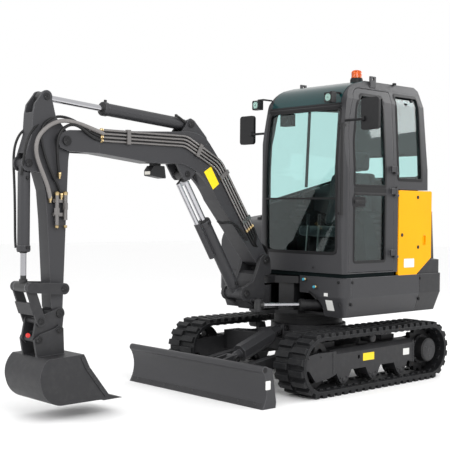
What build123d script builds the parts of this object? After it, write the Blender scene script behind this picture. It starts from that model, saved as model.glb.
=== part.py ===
"""Mini excavator: rubber tracks, dozer blade, swinging boom and a glazed cab.

Millimetres. The machine faces +X, its left is +Y and the ground is z = 0.
Every length is measured from the slew axis, which stands SLEW_X and SLEW_Y
from the middle of the machine's overall length and width, mirrors included.
"""
import os
from math import atan2, cos, degrees, hypot, pi, radians, sin

from build123d import *

# Frame
SLEW_X = -850.0
SLEW_Y = -124.5

# Fits
PIN_FIT = 0.3
SEAT_GAP = 0.3
SIDE_FIT = 1.0
CLEAR = 6.0

# Tracks
TRACK_Y = 625.0
TRACK_WIDTH = 300.0
IDLER_X = 674.0
SPROCKET_X = -704.0
TRACK_RADIUS = 244.5
LUG_HEIGHT = 28.0
LUG_COUNT = 50
LUG_FOOT = 56.0
LUG_RAMP = 9.0
LUG_INSET = 5.0
LUG_GAP = 22.0
LUG_ROOT = 4.0
BELT = 24.0
AXLE_Z = TRACK_RADIUS
BELT_RADIUS = TRACK_RADIUS - LUG_HEIGHT
LOOP_RADIUS = BELT_RADIUS - BELT

# Track frames and what runs in them
BEAM_IN = 555.0
BEAM_OUT = 700.0
BEAM_TOP = 350.0
BEAM_LOW = 172.0
BEAM_REAR = -560.0
BEAM_FRONT = 484.0
YOKE_TIP = 800.0
IDLER_WIDTH = 60.0
SPROCKET_WIDTH = 42.0
SPROCKET_TEETH = 15
HUB_RADIUS = 101.0
HUB_OUT = 745.0
ROLLER_RADIUS = 46.0
ROLLER_SPACING = 365.0
ROLLER_MIDDLE = -12.0
CARRIER_RADIUS = 38.0
CARRIER_X = -6.0

# Carriage and slewing ring
DECK_TOP = 470.0
RING_RADIUS = 292.0
RING_HOLE = 150.0
PLATFORM_LOW = 565.0

# Dozer blade
BLADE_HALF = 775.0
BLADE_EDGE_X = 1325.0
BLADE_TOP = 307.0
BLADE_TUBE = 27.0
BLADE_BACK_X = 1186.0
BLADE_PIVOT = (500.0, 235.0)
BLADE_ARM_Y = 235.0
BLADE_ARM_WIDTH = 60.0
BLADE_EYE = (900.0, 236.0)
BLADE_FOOT = (330.0, 440.0)

# Upper structure
HALF_WIDTH = 731.0
SKIRT_TOP = 893.0
SKIRT_LOW = 577.0
SKIRT_FOLD = 735.0
SKIRT_TUCK = 55.0
SKIRT_WALL = 25.0
FRONT_X = 388.0
CORNER = 70.0
TAIL_RADIUS = 1150.0
SEAM_FRONT = 310.0
SEAM_REAR = -577.0
FLOOR_PLATE = 22.0

# Swing post
KING = (570.0, 0.0)
KING_BOSS = 78.0
KING_PIN = 38.0
POST_LOW = 625.0
POST_TOP = 812.0
POST_GAP = 86.0
POST_EAR = 30.0
BOOM_FOOT = (640.0, 1019.0)
BOOM_CYL_FOOT = (855.0, 756.0)
SWING_EYE = (780.0, 172.0)
SWING_FOOT = (-40.0, 600.0)
SWING_Z = 665.0

# Boom and arm
BOOM_HALF = 78.0
BOOM_WALL = 12.0
BOOM_CYL_HEAD = (1433.0, 1682.0)
ARM_CYL_FOOT = (1406.0, 2057.0)
BOOM_TIP = (2524.0, 1868.0)
FORK_IN = 60.0
FORK_OUT = 86.0
ARM_HALF = 58.0
ARM_CYL_HEAD = (2662.0, 2156.0)
BUCKET_CYL_FOOT = (2798.0, 1707.0)
ROCKER_PIN = (2546.0, 874.0)
LINK_PIN = (2799.0, 891.0)
ARM_END = (2562.0, 707.0)
COUPLER_PIN = (2716.0, 665.0)
LIP = (2142.0, 112.0)
BUCKET_HALF = 225.0
BUCKET_WALL = 12.0

# Cab
CAB_LEFT = 731.0
CAB_RIGHT = -190.0
CAB_WALL = 40.0
CAB_LOW = 925.0
CAB_STEP_X = -270.0
CAB_STEP_Z = 1600.0
CAB_REAR = -690.0
ROOF_Z = 2471.0
ROOF_SPLIT = 2405.0
DOOR_REAR = -212.0
DOOR_FRONT = 345.0
DOOR_GAP = 5.0
DOOR_TOP = 2392.0
GLASS = 6.0

# Cylinders: barrel radius, rod radius
BOOM_CYL = (47.0, 24.0)
ARM_CYL = (45.0, 22.0)
BUCKET_CYL = (41.0, 20.0)
SWING_CYL = (42.0, 20.0)
BLADE_CYL = (45.0, 22.0)


def side(y=0.0):
    """Upright plane facing right, y left of the middle: local x forward, local y up."""
    return Plane(origin=(SLEW_X, SLEW_Y + y, 0), x_dir=(1, 0, 0), z_dir=(0, -1, 0))


def level(z):
    """Level plane at height z, centred on the slew axis: local x forward, local y left."""
    return Plane(origin=(SLEW_X, SLEW_Y, z))


def across(x):
    """Upright plane facing forward, x ahead of the slew axis: local x left, local y up."""
    return Plane(origin=(SLEW_X + x, SLEW_Y, 0), x_dir=(0, 1, 0), z_dir=(1, 0, 0))


def disc(point, y_low, y_high, radius, mode=Mode.ADD):
    """Round bar or bore across the machine, in the part that is being built."""
    with BuildSketch(side(y_high)) as circle:
        with Locations(point):
            Circle(radius)
    extrude(circle.sketch, amount=y_high - y_low, mode=mode)


def upright_disc(point, z_low, z_high, radius, mode=Mode.ADD):
    """Round upright bar or bore, in the part that is being built."""
    with BuildSketch(level(z_low)) as circle:
        with Locations(point):
            Circle(radius)
    extrude(circle.sketch, amount=z_high - z_low, mode=mode)


def block(x_low, x_high, y_low, y_high, z_low, z_high, mode=Mode.ADD):
    """Square block between these limits, in the part that is being built."""
    with BuildSketch(level(z_low)) as base:
        with Locations(((x_low + x_high) / 2, (y_low + y_high) / 2)):
            Rectangle(x_high - x_low, y_high - y_low)
    extrude(base.sketch, amount=z_high - z_low, mode=mode)


def outline(points, y_low, y_high, rounding=0.0, mode=Mode.ADD):
    """Plate across the machine from a side outline, its corners rounded."""
    with BuildSketch(side(y_high)) as shape:
        with BuildLine():
            Polyline(*points, close=True)
        make_face()
        if rounding > 0:
            fillet(shape.vertices(), radius=rounding)
    extrude(shape.sketch, amount=y_high - y_low, mode=mode)


def both_sides(points, y_low, y_high, rounding=0.0, mode=Mode.ADD):
    """The same plate on the left and on the right of the middle."""
    outline(points, y_low, y_high, rounding, mode)
    outline(points, -y_high, -y_low, rounding, mode)


def save(piece, name):
    """Names a finished piece and writes it."""
    piece.part.label = name
    export_step(piece.part, f"parts/{name}.step")


def toward(start, end):
    """Length and heading, in degrees up from forward, of the line between two points."""
    return hypot(end[0] - start[0], end[1] - start[1]), degrees(atan2(end[1] - start[1], end[0] - start[0]))


def along(start, heading, reach, offset=0.0):
    """The point reach along a heading from start, moved sideways by offset."""
    angle = radians(heading)
    return (
        start[0] + reach * cos(angle) - offset * sin(angle),
        start[1] + reach * sin(angle) + offset * cos(angle),
    )


os.makedirs("parts", exist_ok=True)


# Tracks
STRAIGHT = IDLER_X - SPROCKET_X
LOOP = 2 * STRAIGHT + 2 * pi * BELT_RADIUS
LUG_PITCH = LOOP / LUG_COUNT


def on_loop(run, height):
    """The point height above the belt, run along the loop from above the sprocket."""
    run = run % LOOP
    turn = pi * BELT_RADIUS
    if run < STRAIGHT:
        return (SPROCKET_X + run, AXLE_Z + BELT_RADIUS + height)
    if run < STRAIGHT + turn:
        angle = pi / 2 - (run - STRAIGHT) / BELT_RADIUS
        middle = IDLER_X
    elif run < 2 * STRAIGHT + turn:
        return (IDLER_X - (run - STRAIGHT - turn), AXLE_Z - BELT_RADIUS - height)
    else:
        angle = -pi / 2 - (run - 2 * STRAIGHT - turn) / BELT_RADIUS
        middle = SPROCKET_X
    reach = BELT_RADIUS + height
    return (middle + reach * cos(angle), AXLE_Z + reach * sin(angle))


def lug_row(y_low, y_high, phase):
    """One row of lugs round the belt, as a toothed ring, in the part that is being built."""
    points = []
    for index in range(LUG_COUNT):
        start = (index + phase) * LUG_PITCH
        points.append(on_loop(start, -LUG_ROOT))
        points.append(on_loop(start + LUG_RAMP, LUG_HEIGHT))
        points.append(on_loop(start + LUG_FOOT - LUG_RAMP, LUG_HEIGHT))
        points.append(on_loop(start + LUG_FOOT, -LUG_ROOT))
    with BuildSketch(side(y_high)) as ring:
        with BuildLine():
            Polyline(*points, close=True)
        make_face()
        with Locations(((IDLER_X + SPROCKET_X) / 2, AXLE_Z)):
            SlotCenterToCenter(STRAIGHT, 2 * (BELT_RADIUS - 2 * LUG_ROOT), mode=Mode.SUBTRACT)
    extrude(ring.sketch, amount=y_high - y_low)


half_track = TRACK_WIDTH / 2
with BuildPart() as track_left:
    with BuildSketch(side(TRACK_Y + half_track)):
        with Locations(((IDLER_X + SPROCKET_X) / 2, AXLE_Z)):
            SlotCenterToCenter(STRAIGHT, 2 * BELT_RADIUS)
            SlotCenterToCenter(STRAIGHT, 2 * LOOP_RADIUS, mode=Mode.SUBTRACT)
    extrude(amount=TRACK_WIDTH)
    lug_row(TRACK_Y + LUG_GAP / 2, TRACK_Y + half_track - LUG_INSET, 0.0)
    lug_row(TRACK_Y - half_track + LUG_INSET, TRACK_Y - LUG_GAP / 2, 0.5)
save(track_left, "track_left")

with BuildPart() as track_right:
    add(track_left.part)
    mirror(about=side(), mode=Mode.REPLACE)
save(track_right, "track_right")


# Track frames: a box beam with roller brackets below and a yoke for the idler ahead
ROLLER_PLACES = [ROLLER_MIDDLE + step * ROLLER_SPACING for step in (-1, 0, 1)]
ROLLER_Z = AXLE_Z - LOOP_RADIUS + ROLLER_RADIUS + SEAT_GAP
CARRIER_Z = AXLE_Z + LOOP_RADIUS - CARRIER_RADIUS - SEAT_GAP
SHAFT = 20.0
CHEEK = 24.0
ROLLER_IN = BEAM_IN + CHEEK + SIDE_FIT
ROLLER_OUT = BEAM_OUT - CHEEK - SIDE_FIT
CARRIER_IN = BEAM_IN + 40.0
HUB_FLANGE = 122.0
GROOVE_HALF = 22.0

with BuildPart() as track_frame_left:
    beam = [(BEAM_REAR, BEAM_TOP), (BEAM_REAR, BEAM_LOW - 20)]
    for place in ROLLER_PLACES:
        beam += [(place - 95, BEAM_LOW), (place - 50, ROLLER_Z - 2), (place - 25, ROLLER_Z - 26)]
        beam += [(place + 25, ROLLER_Z - 26), (place + 50, ROLLER_Z - 2), (place + 95, BEAM_LOW)]
    beam += [(BEAM_FRONT, BEAM_LOW - 25), (BEAM_FRONT, BEAM_TOP - 12)]
    outline(beam, BEAM_IN, BEAM_OUT)
    top = track_frame_left.faces().sort_by(Axis.Z)[-1]
    chamfer(top.edges().sort_by(Axis.Y)[-1], length=35)
    cheek = [
        (BEAM_FRONT - 40, 330), (YOKE_TIP - 120, 330), (YOKE_TIP, 312), (YOKE_TIP, 212),
        (YOKE_TIP - 45, 205), (YOKE_TIP - 120, 112), (BEAM_FRONT + 40, 128), (BEAM_FRONT - 40, 150),
    ]
    outline(cheek, BEAM_OUT - CHEEK - 10, BEAM_OUT, rounding=10)
    outline(cheek, BEAM_IN, BEAM_IN + CHEEK, rounding=10)
    rear_cheek = [
        (BEAM_REAR + 20, BEAM_TOP - 4), (SPROCKET_X, AXLE_Z + 118), (SPROCKET_X - 95, AXLE_Z + 60),
        (SPROCKET_X - 95, AXLE_Z - 60), (SPROCKET_X, AXLE_Z - 118), (BEAM_REAR + 20, BEAM_LOW - 20),
    ]
    outline(rear_cheek, BEAM_IN, BEAM_IN + CHEEK - 2, rounding=14)
    for place in ROLLER_PLACES:
        block(place - 58, place + 58, BEAM_IN + CHEEK, BEAM_OUT - CHEEK, 0, ROLLER_Z + ROLLER_RADIUS + CLEAR,
              mode=Mode.SUBTRACT)
        disc((place, ROLLER_Z), BEAM_IN, BEAM_OUT, SHAFT - PIN_FIT)
    disc((CARRIER_X + 175, 262), BEAM_OUT - 30, BEAM_OUT, 17, mode=Mode.SUBTRACT)
    carrier_post = [(CARRIER_X - 60, BEAM_TOP - 40), (CARRIER_X - 28, CARRIER_Z + 20),
                    (CARRIER_X + 28, CARRIER_Z + 20), (CARRIER_X + 60, BEAM_TOP - 40)]
    outline(carrier_post, BEAM_IN, CARRIER_IN, rounding=12)
    disc((CARRIER_X, CARRIER_Z), BEAM_IN, BEAM_OUT - 12, SHAFT - 4 - PIN_FIT)
    for place, width in ((IDLER_X, IDLER_WIDTH), (SPROCKET_X, SPROCKET_WIDTH)):
        disc((place, AXLE_Z), TRACK_Y - width / 2 - CLEAR, TRACK_Y + width / 2 + CLEAR,
             LOOP_RADIUS + CLEAR, mode=Mode.SUBTRACT)
    disc((IDLER_X, AXLE_Z), BEAM_IN, BEAM_OUT - 4, SHAFT + 4 - PIN_FIT)
save(track_frame_left, "track_frame_left")

with BuildPart() as track_frame_right:
    add(track_frame_left.part)
    mirror(about=side(), mode=Mode.REPLACE)
save(track_frame_right, "track_frame_right")


def wheel(centre, y_low, y_high, radius, bore, groove=0.0):
    """Roller or idler with a bore and an open channel round its middle."""
    with BuildPart() as piece:
        disc(centre, y_low, y_high, radius)
        chamfer(piece.edges().filter_by(GeomType.CIRCLE), length=4)
        if groove > 0:
            middle = (y_low + y_high) / 2
            with BuildSketch(side(middle + GROOVE_HALF)) as ring:
                with Locations(centre):
                    Circle(radius + 1)
                    Circle(radius - groove, mode=Mode.SUBTRACT)
            extrude(ring.sketch, amount=2 * GROOVE_HALF, mode=Mode.SUBTRACT)
        disc(centre, y_low, y_high, bore, mode=Mode.SUBTRACT)
    return piece.part


with BuildPart() as track_rollers:
    for place in ROLLER_PLACES:
        add(wheel((place, ROLLER_Z), ROLLER_IN, ROLLER_OUT, ROLLER_RADIUS, SHAFT, groove=12))
    add(wheel((CARRIER_X, CARRIER_Z), CARRIER_IN + SIDE_FIT, BEAM_OUT, CARRIER_RADIUS, SHAFT - 4))
    mirror(about=side())
save(track_rollers, "track_rollers")

with BuildPart() as idlers:
    add(wheel((IDLER_X, AXLE_Z), TRACK_Y - IDLER_WIDTH / 2, TRACK_Y + IDLER_WIDTH / 2,
              LOOP_RADIUS - SEAT_GAP, SHAFT + 4))
    for spot in range(8):
        angle = 2 * pi * spot / 8
        disc((IDLER_X + 118 * cos(angle), AXLE_Z + 118 * sin(angle)),
             TRACK_Y - IDLER_WIDTH, TRACK_Y + IDLER_WIDTH, 30, mode=Mode.SUBTRACT)
    mirror(about=side())
save(idlers, "idlers")

# Sprockets: a toothed ring on the final drive's round housing
with BuildPart() as sprockets:
    tooth_pitch = 2 * pi / SPROCKET_TEETH
    tip = LOOP_RADIUS - SEAT_GAP
    root = tip - 26
    teeth = []
    for tooth in range(SPROCKET_TEETH):
        for share, reach in ((-0.34, root), (-0.14, tip), (0.14, tip), (0.34, root)):
            angle = (tooth + share) * tooth_pitch
            teeth.append((SPROCKET_X + reach * cos(angle), AXLE_Z + reach * sin(angle)))
    outline(teeth, TRACK_Y - SPROCKET_WIDTH / 2, TRACK_Y + SPROCKET_WIDTH / 2)
    disc((SPROCKET_X, AXLE_Z), BEAM_IN + CHEEK - 2 + SEAT_GAP, HUB_OUT, HUB_RADIUS)
    chamfer(sprockets.edges().filter_by(GeomType.CIRCLE).sort_by(Axis.Y)[-1], length=6)
    disc((SPROCKET_X, AXLE_Z), BEAM_IN + CHEEK - 2 + SEAT_GAP, TRACK_Y + SPROCKET_WIDTH / 2 + 22, HUB_FLANGE)
    mirror(about=side())
save(sprockets, "sprockets")

# Carriage: a slewing-ring seat on four arms, with lugs for the blade ahead
LUG_PLATE = 22.0
with BuildPart() as carriage_frame:
    upright_disc((0, 0), 330, DECK_TOP, RING_RADIUS + 28)
    block(-330, 360, -250, 250, 262, 420)
    with BuildSketch(level(222)) as arms:
        for forward in (1, -1):
            with BuildLine():
                Polyline((forward * 90, 150), (forward * 300, BEAM_IN - 20), (forward * 300, BEAM_IN),
                         (forward * 470, BEAM_IN), (forward * 470, BEAM_IN - 40), (forward * 330, 150), close=True)
            make_face()
    extrude(arms.sketch, amount=160)
    extrude(mirror(arms.sketch, about=side(), mode=Mode.PRIVATE), amount=160)
    upright_disc((0, 0), 0, DECK_TOP, RING_HOLE, mode=Mode.SUBTRACT)
    # blade arm lugs: a pair of plates each side
    arm_lug = [(300, 380), (BLADE_PIVOT[0] - 20, 300), (BLADE_PIVOT[0] + 46, 272), (BLADE_PIVOT[0] + 46, 196),
               (BLADE_PIVOT[0] - 30, 190), (300, 262)]
    half_arm = BLADE_ARM_WIDTH / 2 + SIDE_FIT
    for middle in (BLADE_ARM_Y, -BLADE_ARM_Y):
        outline(arm_lug, middle + half_arm, middle + half_arm + LUG_PLATE, rounding=12)
        outline(arm_lug, middle - half_arm - LUG_PLATE, middle - half_arm, rounding=12)
        disc(BLADE_PIVOT, middle - half_arm - LUG_PLATE - 6, middle + half_arm + LUG_PLATE + 6, 22 - PIN_FIT)
    # pocket for the blade cylinder, between its foot lugs
    eye_half = 34 + SIDE_FIT
    pocket = [(BLADE_FOOT[0] - 46, 500), (BLADE_FOOT[0] - 46, 388), (BLADE_FOOT[0] + 20, 360),
              (BLADE_FOOT[0] + 80, 330), (BLADE_FOOT[0] + 80, 500)]
    outline(pocket, -BLADE_CYL[0] - 12, BLADE_CYL[0] + 12, mode=Mode.SUBTRACT)
    foot_lug = [(BLADE_FOOT[0] - 75, 400), (BLADE_FOOT[0] - 38, 468), (BLADE_FOOT[0] + 30, 476),
                (BLADE_FOOT[0] + 36, 420), (BLADE_FOOT[0] + 22, 330), (BLADE_FOOT[0] - 75, 330)]
    both_sides(foot_lug, eye_half, eye_half + LUG_PLATE, rounding=8)
    disc(BLADE_FOOT, -eye_half - LUG_PLATE - 5, eye_half + LUG_PLATE + 5, 20 - PIN_FIT)
save(carriage_frame, "carriage_frame")

with BuildPart() as slew_ring:
    race_top = (DECK_TOP + PLATFORM_LOW) / 2 - 4
    upright_disc((0, 0), DECK_TOP, race_top, RING_RADIUS)
    upright_disc((0, 0), race_top - 14, race_top, RING_RADIUS - 14)
    upright_disc((0, 0), DECK_TOP, race_top, RING_HOLE, mode=Mode.SUBTRACT)
save(slew_ring, "slew_ring")


# Cylinders: a barrel with a foot eye, and a rod that slides in it
GLAND = 36.0
ROD_FIT = 0.6


def barrel_in(plane, radii, gland_at, bore_from, foot_radius, foot_half, pin):
    """Barrel lying along local x of the plane from its foot eye, in the part that is being built."""
    outer, inner = radii
    neck = min(foot_half - 2, outer - 6)
    shoulder = foot_radius + 14
    bore = inner + ROD_FIT
    with BuildSketch(plane) as half:
        with BuildLine():
            Polyline((foot_radius * 0.6, 0), (foot_radius * 0.6, neck), (shoulder, neck), (shoulder + 8, outer),
                     (gland_at - GLAND, outer), (gland_at - GLAND, outer + 5), (gland_at - 4, outer + 5),
                     (gland_at, outer), (gland_at, bore), (bore_from, bore), (bore_from, 0), close=True)
        make_face()
    revolve(half.sketch, axis=Axis(plane.origin, plane.x_dir))
    with BuildSketch(plane) as eye:
        Circle(foot_radius)
    extrude(eye.sketch, amount=foot_half, both=True)
    with BuildSketch(plane) as bore:
        Circle(pin)
    extrude(bore.sketch, amount=foot_half, both=True, mode=Mode.SUBTRACT)


def rod_in(plane, radius, length, rod_from, eye_radius, eye_half):
    """Rod lying along local x of the plane, up to an eye at length, in the part that is being built."""
    with BuildSketch(plane) as half:
        with BuildLine():
            Polyline((rod_from, 0), (rod_from, radius - 2), (rod_from + 2, radius),
                     (length - eye_radius - 22, radius), (length - eye_radius - 16, radius + 8),
                     (length - eye_radius * 0.5, radius + 8), (length - eye_radius * 0.5, 0), close=True)
        make_face()
    revolve(half.sketch, axis=Axis(plane.origin, plane.x_dir))
    with BuildSketch(plane) as eye:
        with Locations((length, 0)):
            Circle(eye_radius)
    extrude(eye.sketch, amount=eye_half, both=True)


def side_axis(start, end):
    """Plane across the machine at its middle with local x from start towards end."""
    run, heading = toward(start, end)
    base = side()
    x_way = (cos(radians(heading)), 0, sin(radians(heading)))
    return Plane(origin=base.from_local_coords((start[0], start[1], 0)), x_dir=x_way, z_dir=(0, -1, 0))


# Dozer blade: a curved mouldboard with end plates and a top tube
TUBE_AT = (1300.0, BLADE_TOP - BLADE_TUBE)
BLADE_LENGTH, BLADE_HEADING = toward(BLADE_FOOT, BLADE_EYE)
with BuildPart() as blade:
    with BuildSketch(side(BLADE_HALF)):
        with BuildLine():
            ThreePointArc((1316, 262), (1281, 140), (BLADE_EDGE_X, 0))
            Line((BLADE_EDGE_X, 0), (BLADE_EDGE_X - 18, 0))
            ThreePointArc((BLADE_EDGE_X - 18, 0), (1269, 140), (1302, 262))
            Line((1302, 262), (1316, 262))
        make_face()
    extrude(amount=2 * BLADE_HALF)
    with BuildSketch(side(BLADE_HALF)) as end_plate:
        with BuildLine():
            ThreePointArc((1316, 262), (1281, 140), (BLADE_EDGE_X, 0))
            Polyline((BLADE_EDGE_X, 0), (BLADE_BACK_X + 6, 0), (BLADE_BACK_X, 40), (BLADE_BACK_X + 40, 280),
                     (1280, 300), (1316, 262))
        make_face()
    extrude(end_plate.sketch, amount=20)
    extrude(end_plate.sketch.moved(Location((0, -2 * BLADE_HALF + 20, 0))), amount=20)
    disc(TUBE_AT, -BLADE_HALF, BLADE_HALF, BLADE_TUBE)
    disc(TUBE_AT, BLADE_HALF - 60, BLADE_HALF, 12, mode=Mode.SUBTRACT)
    disc(TUBE_AT, -BLADE_HALF, -BLADE_HALF + 60, 12, mode=Mode.SUBTRACT)
save(blade, "blade")

# Blade frame: two arms welded to the back of the board, a cross plate and the cylinder's lugs
with BuildPart() as blade_frame:
    half_arm = BLADE_ARM_WIDTH / 2
    arm_side = [(1287, 215), (1275, 140), (1287, 60), (1180, 64), (560, 188), (BLADE_PIVOT[0], 196),
                (BLADE_PIVOT[0], 274), (560, 276), (1180, 190)]
    both_sides(arm_side, BLADE_ARM_Y - half_arm, BLADE_ARM_Y + half_arm)
    for middle in (BLADE_ARM_Y, -BLADE_ARM_Y):
        disc(BLADE_PIVOT, middle - half_arm, middle + half_arm, 40)
        disc(BLADE_PIVOT, middle - half_arm, middle + half_arm, 22, mode=Mode.SUBTRACT)
    outline([(1280, 175), (1275, 140), (1284, 70), (1040, 96), (1040, 150)], -BLADE_ARM_Y, BLADE_ARM_Y)
    eye_half = 34 + SIDE_FIT
    eye_lug = [(1282, 200), (1275, 140), (1279, 96), (1040, 100), (BLADE_EYE[0] - 20, 196),
               (BLADE_EYE[0] - 36, 236), (BLADE_EYE[0] - 6, 272), (BLADE_EYE[0] + 60, 262)]
    both_sides(eye_lug, eye_half, eye_half + LUG_PLATE, rounding=10)
    for way in (1, -1):
        low, high = sorted((way * eye_half, way * (eye_half + LUG_PLATE + 12)))
        disc(BLADE_EYE, low, high, 26)
    add(blade.part, mode=Mode.SUBTRACT)
save(blade_frame, "blade_frame")

with BuildPart() as blade_barrel:
    barrel_in(side_axis(BLADE_FOOT, BLADE_EYE), BLADE_CYL, 400, 200, 36, 34, 20)
save(blade_barrel, "blade_barrel")

GUARD_FROM = 150.0
GUARD_TO = 500.0
with BuildPart() as blade_rod:
    blade_axis = side_axis(BLADE_FOOT, BLADE_EYE)
    rod_in(blade_axis, BLADE_CYL[1], BLADE_LENGTH, 300, 36, 33)
    guard_plane = Plane(origin=blade_axis.from_local_coords((GUARD_FROM, 0, 0)), z_dir=blade_axis.x_dir,
                        x_dir=(0, 1, 0))
    with BuildSketch(guard_plane) as guard:
        RegularPolygon(radius=66, side_count=8, major_radius=False, rotation=22.5)
        RegularPolygon(radius=59, side_count=8, major_radius=False, rotation=22.5, mode=Mode.SUBTRACT)
    extrude(guard.sketch, amount=GUARD_TO - GUARD_FROM)
    with BuildSketch(guard_plane.offset(GUARD_TO - GUARD_FROM)) as cap:
        RegularPolygon(radius=66, side_count=8, major_radius=False, rotation=22.5)
    extrude(cap.sketch, amount=8)
    with BuildSketch(guard_plane.offset(GUARD_TO - GUARD_FROM + 8)) as collar:
        Circle(34)
    extrude(collar.sketch, amount=60)
save(blade_rod, "blade_rod")


# Upper structure: its plan, drawn in by inset
REAR_X = -((TAIL_RADIUS ** 2 - HALF_WIDTH ** 2) ** 0.5)
REAR_CORNER = 60.0


def machine_plan(z, inset=0.0):
    """Plan of the upper structure at height z: square ahead, round behind."""
    with BuildSketch(level(z)) as plan:
        with BuildLine():
            Polyline((REAR_X, HALF_WIDTH), (FRONT_X, HALF_WIDTH), (FRONT_X, -HALF_WIDTH), (REAR_X, -HALF_WIDTH))
            ThreePointArc((REAR_X, -HALF_WIDTH), (-TAIL_RADIUS, 0), (REAR_X, HALF_WIDTH))
        make_face()
        ordered = plan.vertices().sort_by(Axis.X)
        fillet(ordered[:2], radius=REAR_CORNER)
        fillet(plan.vertices().sort_by(Axis.X)[-2:], radius=CORNER)
        if inset > 0:
            offset(amount=-inset, kind=Kind.INTERSECTION)
    return plan.sketch


def skirt_form(inset, z_low, z_high):
    """Band round the upper structure: upright above the fold, drawn in below it."""
    tuck = SKIRT_TUCK * (SKIRT_FOLD - z_low) / (SKIRT_FOLD - SKIRT_LOW)
    with BuildPart() as band:
        extrude(machine_plan(SKIRT_FOLD, inset), amount=z_high - SKIRT_FOLD)
        loft([machine_plan(SKIRT_FOLD, inset), machine_plan(z_low, inset + tuck)])
    return band.part


band_outer = skirt_form(0, SKIRT_LOW, SKIRT_TOP)
band_inner = skirt_form(SKIRT_WALL, SKIRT_LOW - 5, SKIRT_TOP + 5)
BALLAST = 180.0
band_pocket = skirt_form(BALLAST, SKIRT_LOW - 5, SKIRT_TOP + 5)
SEAM = 3.0
COVER_EDGE_Y = 255.0

with BuildPart() as skirt_left:
    add(band_outer)
    add(band_inner, mode=Mode.SUBTRACT)
    block(SEAM_REAR + SEAM, SEAM_FRONT - SEAM, 300, HALF_WIDTH + 5, SKIRT_LOW, SKIRT_TOP, mode=Mode.INTERSECT)
save(skirt_left, "skirt_left")

CUT_TOP = 758.0
CUT_LEFT = 477.0
CUT_SHOULDER = (444.0, 709.0)
with BuildPart() as front_cover:
    add(band_outer)
    add(band_inner, mode=Mode.SUBTRACT)
    block(SEAM_FRONT, FRONT_X, COVER_EDGE_Y, HALF_WIDTH, SKIRT_LOW, SKIRT_TOP, mode=Mode.INTERSECT)
    with BuildSketch(across(FRONT_X)) as mouth:
        with BuildLine():
            Line((COVER_EDGE_Y - 10, CUT_TOP), (COVER_EDGE_Y + 70, CUT_TOP))
            ThreePointArc((COVER_EDGE_Y + 70, CUT_TOP), CUT_SHOULDER, (CUT_LEFT, CUT_TOP - 98))
            Polyline((CUT_LEFT, CUT_TOP - 98), (CUT_LEFT, SKIRT_LOW - 30), (COVER_EDGE_Y - 10, SKIRT_LOW - 30),
                     (COVER_EDGE_Y - 10, CUT_TOP))
        make_face()
    extrude(mouth.sketch, amount=-120, mode=Mode.SUBTRACT)
save(front_cover, "front_cover")

with BuildPart() as skirt_right:
    add(band_outer)
    add(band_inner, mode=Mode.SUBTRACT)
    block(SEAM_REAR + SEAM, FRONT_X, -HALF_WIDTH, -COVER_EDGE_Y, SKIRT_LOW, SKIRT_TOP, mode=Mode.INTERSECT)
save(skirt_right, "skirt_right")

# Counterweight: a thick cast band with horns that rise behind the side panels
HORN_TOP = 1010.0
HORN_X = -725.0
HORN_START = SEAM_REAR + 30
with BuildPart() as counterweight:
    add(band_outer)
    extrude(machine_plan(SKIRT_TOP - 1, 14), amount=HORN_TOP - SKIRT_TOP + 1)
    add(band_pocket, mode=Mode.SUBTRACT)
    extrude(machine_plan(SKIRT_TOP - 1, BALLAST), amount=HORN_TOP, mode=Mode.SUBTRACT)
    block(-TAIL_RADIUS, SEAM_REAR - SEAM, -HALF_WIDTH, HALF_WIDTH, SKIRT_LOW, HORN_TOP, mode=Mode.INTERSECT)
    wedge = [(HORN_START, SKIRT_TOP), (HORN_X, HORN_TOP), (HORN_X, HORN_TOP + 60), (HORN_START, HORN_TOP + 60)]
    outline(wedge, -HALF_WIDTH, HALF_WIDTH, mode=Mode.SUBTRACT)
save(counterweight, "counterweight")

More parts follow.
